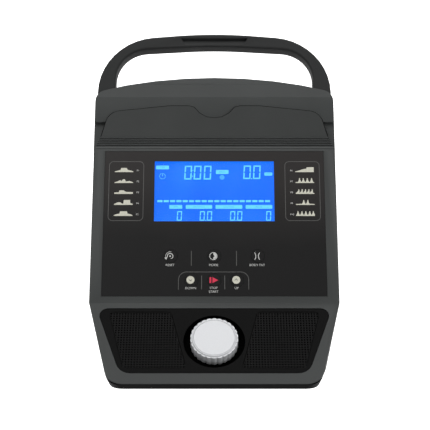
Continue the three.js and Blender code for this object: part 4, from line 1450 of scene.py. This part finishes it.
@dataclass
class Dial:
    """Fluted silver dial with its face disc, and the encoder that it turns."""

    easing: float = 0.25

    def build(self) -> None:
        """Build the dial and dress the encoder."""
        for node, name in (("dial_knob", "dial_grip"), ("dial_cap", "dial_face")):
            piece = copy_of_node(node, name)
            round_edges(piece, self.easing, 2, angle=40)
            smooth(piece, 34)
            install(piece, Finish.SILVER, body="dial", instead_of=[node])
        dress_nodes(Finish.STEEL, "encoder_shaft", "encoder_nut")
        dress_nodes(Finish.ZINC, "encoder_body", "encoder_push_disc")
        dress_nodes(Finish.BOARD, "encoder_board")
        dress_nodes(Finish.RIBBON, "encoder_ribbon")


# ---- Back and inside ----------------------------------------------------------------------------
@dataclass
class Inside:
    """Board, switches, leads and fixings."""

    board_screws: int = 4

    def build(self) -> None:
        """Dress everything inside and on the back."""
        dress_nodes(Finish.BOARD, "main_board")
        dress_nodes(Finish.CHIP, "controller_chip", "beeper", *(f"switch_{n}" for n in KEYS))
        dress_nodes(Finish.LEAD, *(f"speaker_lead_{side}" for side in SIDES))
        screws = (f"board_screw_{n + 1}" for n in range(self.board_screws))
        dress_nodes(Finish.ZINC, "mount_plate", *screws)
        dress_nodes(Finish.RUBBER, "cable_grommet")


@dataclass
class CrossScrew:
    """Pan-head screw with a cross recess."""

    head: float = 3.5
    head_height: float = 2.4
    shank: float = 1.6
    recess: float = 0.9
    cover_length: float = 17.0
    handle_length: float = 12.0

    def pattern(self, length: float) -> bpy.types.Object:
        """Model one screw about the origin, its head towards +Z.

        Args:
            length: length of its shank.

        Returns:
            The screw.
        """
        deselect_all()
        bpy.ops.mesh.primitive_cylinder_add(
            vertices=28,
            radius=self.head * MM,
            depth=self.head_height * MM,
            location=(0, 0, self.head_height / 2 * MM),
        )
        screw = bpy.context.object
        with edit_mode(screw):
            select_where(screw, "faces", lambda face: face.normal.z < -0.9)
            bpy.ops.mesh.inset(thickness=(self.head - self.shank) * MM)
            bpy.ops.mesh.extrude_region_move(TRANSFORM_OT_translate={"value": (0, 0, -length * MM)})
        round_edges(screw, 0.5, 3, angle=60, where=lambda middle: middle.z > 1.5 * MM)
        for turn in (0, 1):
            self._cut(screw, turn)
        smooth(screw, 30)
        return screw

    def _cut(self, screw: bpy.types.Object, turn: int) -> None:
        """Cut one arm of the cross.

        Args:
            screw: the screw.
            turn: 0 for the arm across, 1 for the other.
        """
        deselect_all()
        bpy.ops.mesh.primitive_cube_add(size=1)
        tool = bpy.context.object
        arms = (3.6 * MM, 0.8 * MM)
        tool.scale = (arms[turn], arms[1 - turn], 2 * self.recess * MM)
        tool.location = (0, 0, self.head_height * MM)
        bpy.ops.object.transform_apply(location=True, rotation=True, scale=True)
        round_edges(tool, 0.15, 1, angle=60)
        take(screw)
        cutter = screw.modifiers.new("cross", "BOOLEAN")
        cutter.operation = "DIFFERENCE"
        cutter.object = tool
        apply_modifiers(screw)
        bpy.data.objects.remove(tool)

    def build(self) -> None:
        """Put a screw in place of each visible CAD screw."""
        sets = {
            self.cover_length: [f"cover_screw_{row}_{side}" for row in ("top", "low") for side in SIDES],
            self.handle_length: [f"handle_screw_{side}" for side in SIDES],
        }
        back = Face(Vector((0, 0, 0)), -CONTROL.up, -CONTROL.out)
        for length, names in sets.items():
            pattern = self.pattern(length)
            for name in names:
                low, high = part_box(name)
                centre = (low + high) / 2
                copy = pattern.copy()
                copy.data = pattern.data.copy()
                copy.name = name.replace("screw", "fixing")
                bpy.context.scene.collection.objects.link(copy)
                turn = back.place().to_3x3().to_4x4()
                seat = centre + back.out * (length - self.head_height) / 2 * MM
                settle(copy, Matrix.Translation(seat) @ turn)
                install(copy, Finish.ZINC, instead_of=[name])
            bpy.data.objects.remove(pattern)


# ---- Studio -------------------------------------------------------------------------------------
@dataclass
class Studio:
    """Pale floor, soft light and the camera."""

    distance: float = 1.1
    elevation: float = 9.0
    sensor: float = 36.0
    seen: float = 0.43  # width of the view at that distance, in metres
    aim_up: float = 113.9
    rise: float = 0.024
    side: float = 0.0007
    floor_drop: float = 0.5
    seam: float = 0.9
    reach: float = 6.0
    slack: float = 0.1
    ambient: float = 0.3

    def build(self) -> None:
        """Set up the studio."""
        self.camera()
        self.floor()
        self.lights()
        self.world()
        bpy.context.scene.view_settings.view_transform = "Standard"

    def camera(self) -> None:
        """Camera in front of the display, a little above it."""
        tilt = math.radians(self.elevation)
        ahead = Vector((0, math.cos(tilt), -math.sin(tilt)))
        up = Vector((0, math.sin(tilt), math.cos(tilt)))
        place = CONTROL.point(0, self.aim_up) - ahead * self.distance - up * self.rise
        place.x += self.side
        deselect_all()
        bpy.ops.object.camera_add(location=place, rotation=(math.radians(90) - tilt, 0, 0))
        camera = bpy.context.object
        camera.name = "camera"
        camera.data.lens = self.sensor * self.distance / self.seen
        camera.data.sensor_width = self.sensor
        bpy.context.scene.camera = camera

    def floor(self) -> None:
        """Pale floor in front and a white sweep behind."""
        low = CAD_BOX[0].z - self.floor_drop
        front = self._sheet("floor", -self.reach, self.seam, low)
        front.data.materials.append(self._paper("floor", 0.8, 0.0))
        sweep = self._sheet("backdrop", self.seam, self.reach, low)
        with edit_mode(sweep):
            far = self.reach - self.slack
            select_where(sweep, "edges", lambda edge: all(v.co.y > far for v in edge.verts))
            bpy.ops.mesh.extrude_region_move(TRANSFORM_OT_translate={"value": (0, 0, self.reach)})
        sweep.data.materials.append(self._paper("backdrop", 0.9, 1.0))

    def _sheet(self, name: str, front: float, back: float, height: float) -> bpy.types.Object:
        """Flat sheet from one depth to another, as wide as the studio.

        Args:
            name: its name.
            front: its near edge.
            back: its far edge.
            height: its level, all in metres.

        Returns:
            The sheet.
        """
        deselect_all()
        bpy.ops.mesh.primitive_plane_add(size=1, location=(0, (front + back) / 2, height))
        sheet = bpy.context.object
        sheet.name = name
        sheet.scale = (2 * self.reach, back - front, 1)
        bpy.ops.object.transform_apply(location=True, rotation=True, scale=True)
        return sheet

    def _paper(self, name: str, tone: float, glow: float) -> bpy.types.Material:
        """Matt paper, lit from behind if it has a glow.

        Args:
            name: its name.
            tone: how pale it is.
            glow: how strongly it shines.

        Returns:
            The material.
        """
        nodes = Nodes(f"{name}_paper")
        nodes.set("Base Color", (tone, tone, tone, 1))
        nodes.set("Roughness", 0.9)
        nodes.set("Emission Color", (1, 1, 1, 1))
        nodes.set("Emission Strength", glow)
        return nodes.material

    def lights(self) -> None:
        """Large soft lamps above, in front and at the sides."""
        lamps = (
            ("key_lamp", (-1.1, -0.9, 1.7), 1.0, 12.0),
            ("fill_lamp", (1.6, -0.9, 0.5), 1.2, 8.0),
            ("top_lamp", (0.1, -0.25, 1.6), 1.1, 9.5),
        )
        target = CONTROL.point(0, 80)
        for name, place, size, power in lamps:
            deselect_all()
            bpy.ops.object.light_add(type="AREA", location=place)
            lamp = bpy.context.object
            lamp.name = name
            lamp.data.energy = power
            lamp.data.size = size
            lamp.rotation_euler = (target - Vector(place)).to_track_quat("-Z", "Y").to_euler()

    def world(self) -> None:
        """Even white surroundings."""
        world = bpy.data.worlds.new("studio")
        bpy.context.scene.world = world
        world.use_nodes = True
        background = world.node_tree.nodes["Background"]
        background.inputs["Color"].default_value = (1, 1, 1, 1)
        background.inputs["Strength"].default_value = self.ambient


def main() -> None:
    """Build every sub-assembly in order."""
    logging.basicConfig(level=logging.INFO, format="%(name)s: %(message)s")
    for part in (
        Studio(),
        Housing(),
        GrabHandle(),
        ControlFace(),
        KeySet(),
        Display(),
        SpeakerPanel(),
        Dial(),
        Inside(),
        CrossScrew(),
    ):
        log.info("building %s", type(part).__name__)
        part.build()


if __name__ == "__main__":
    main()
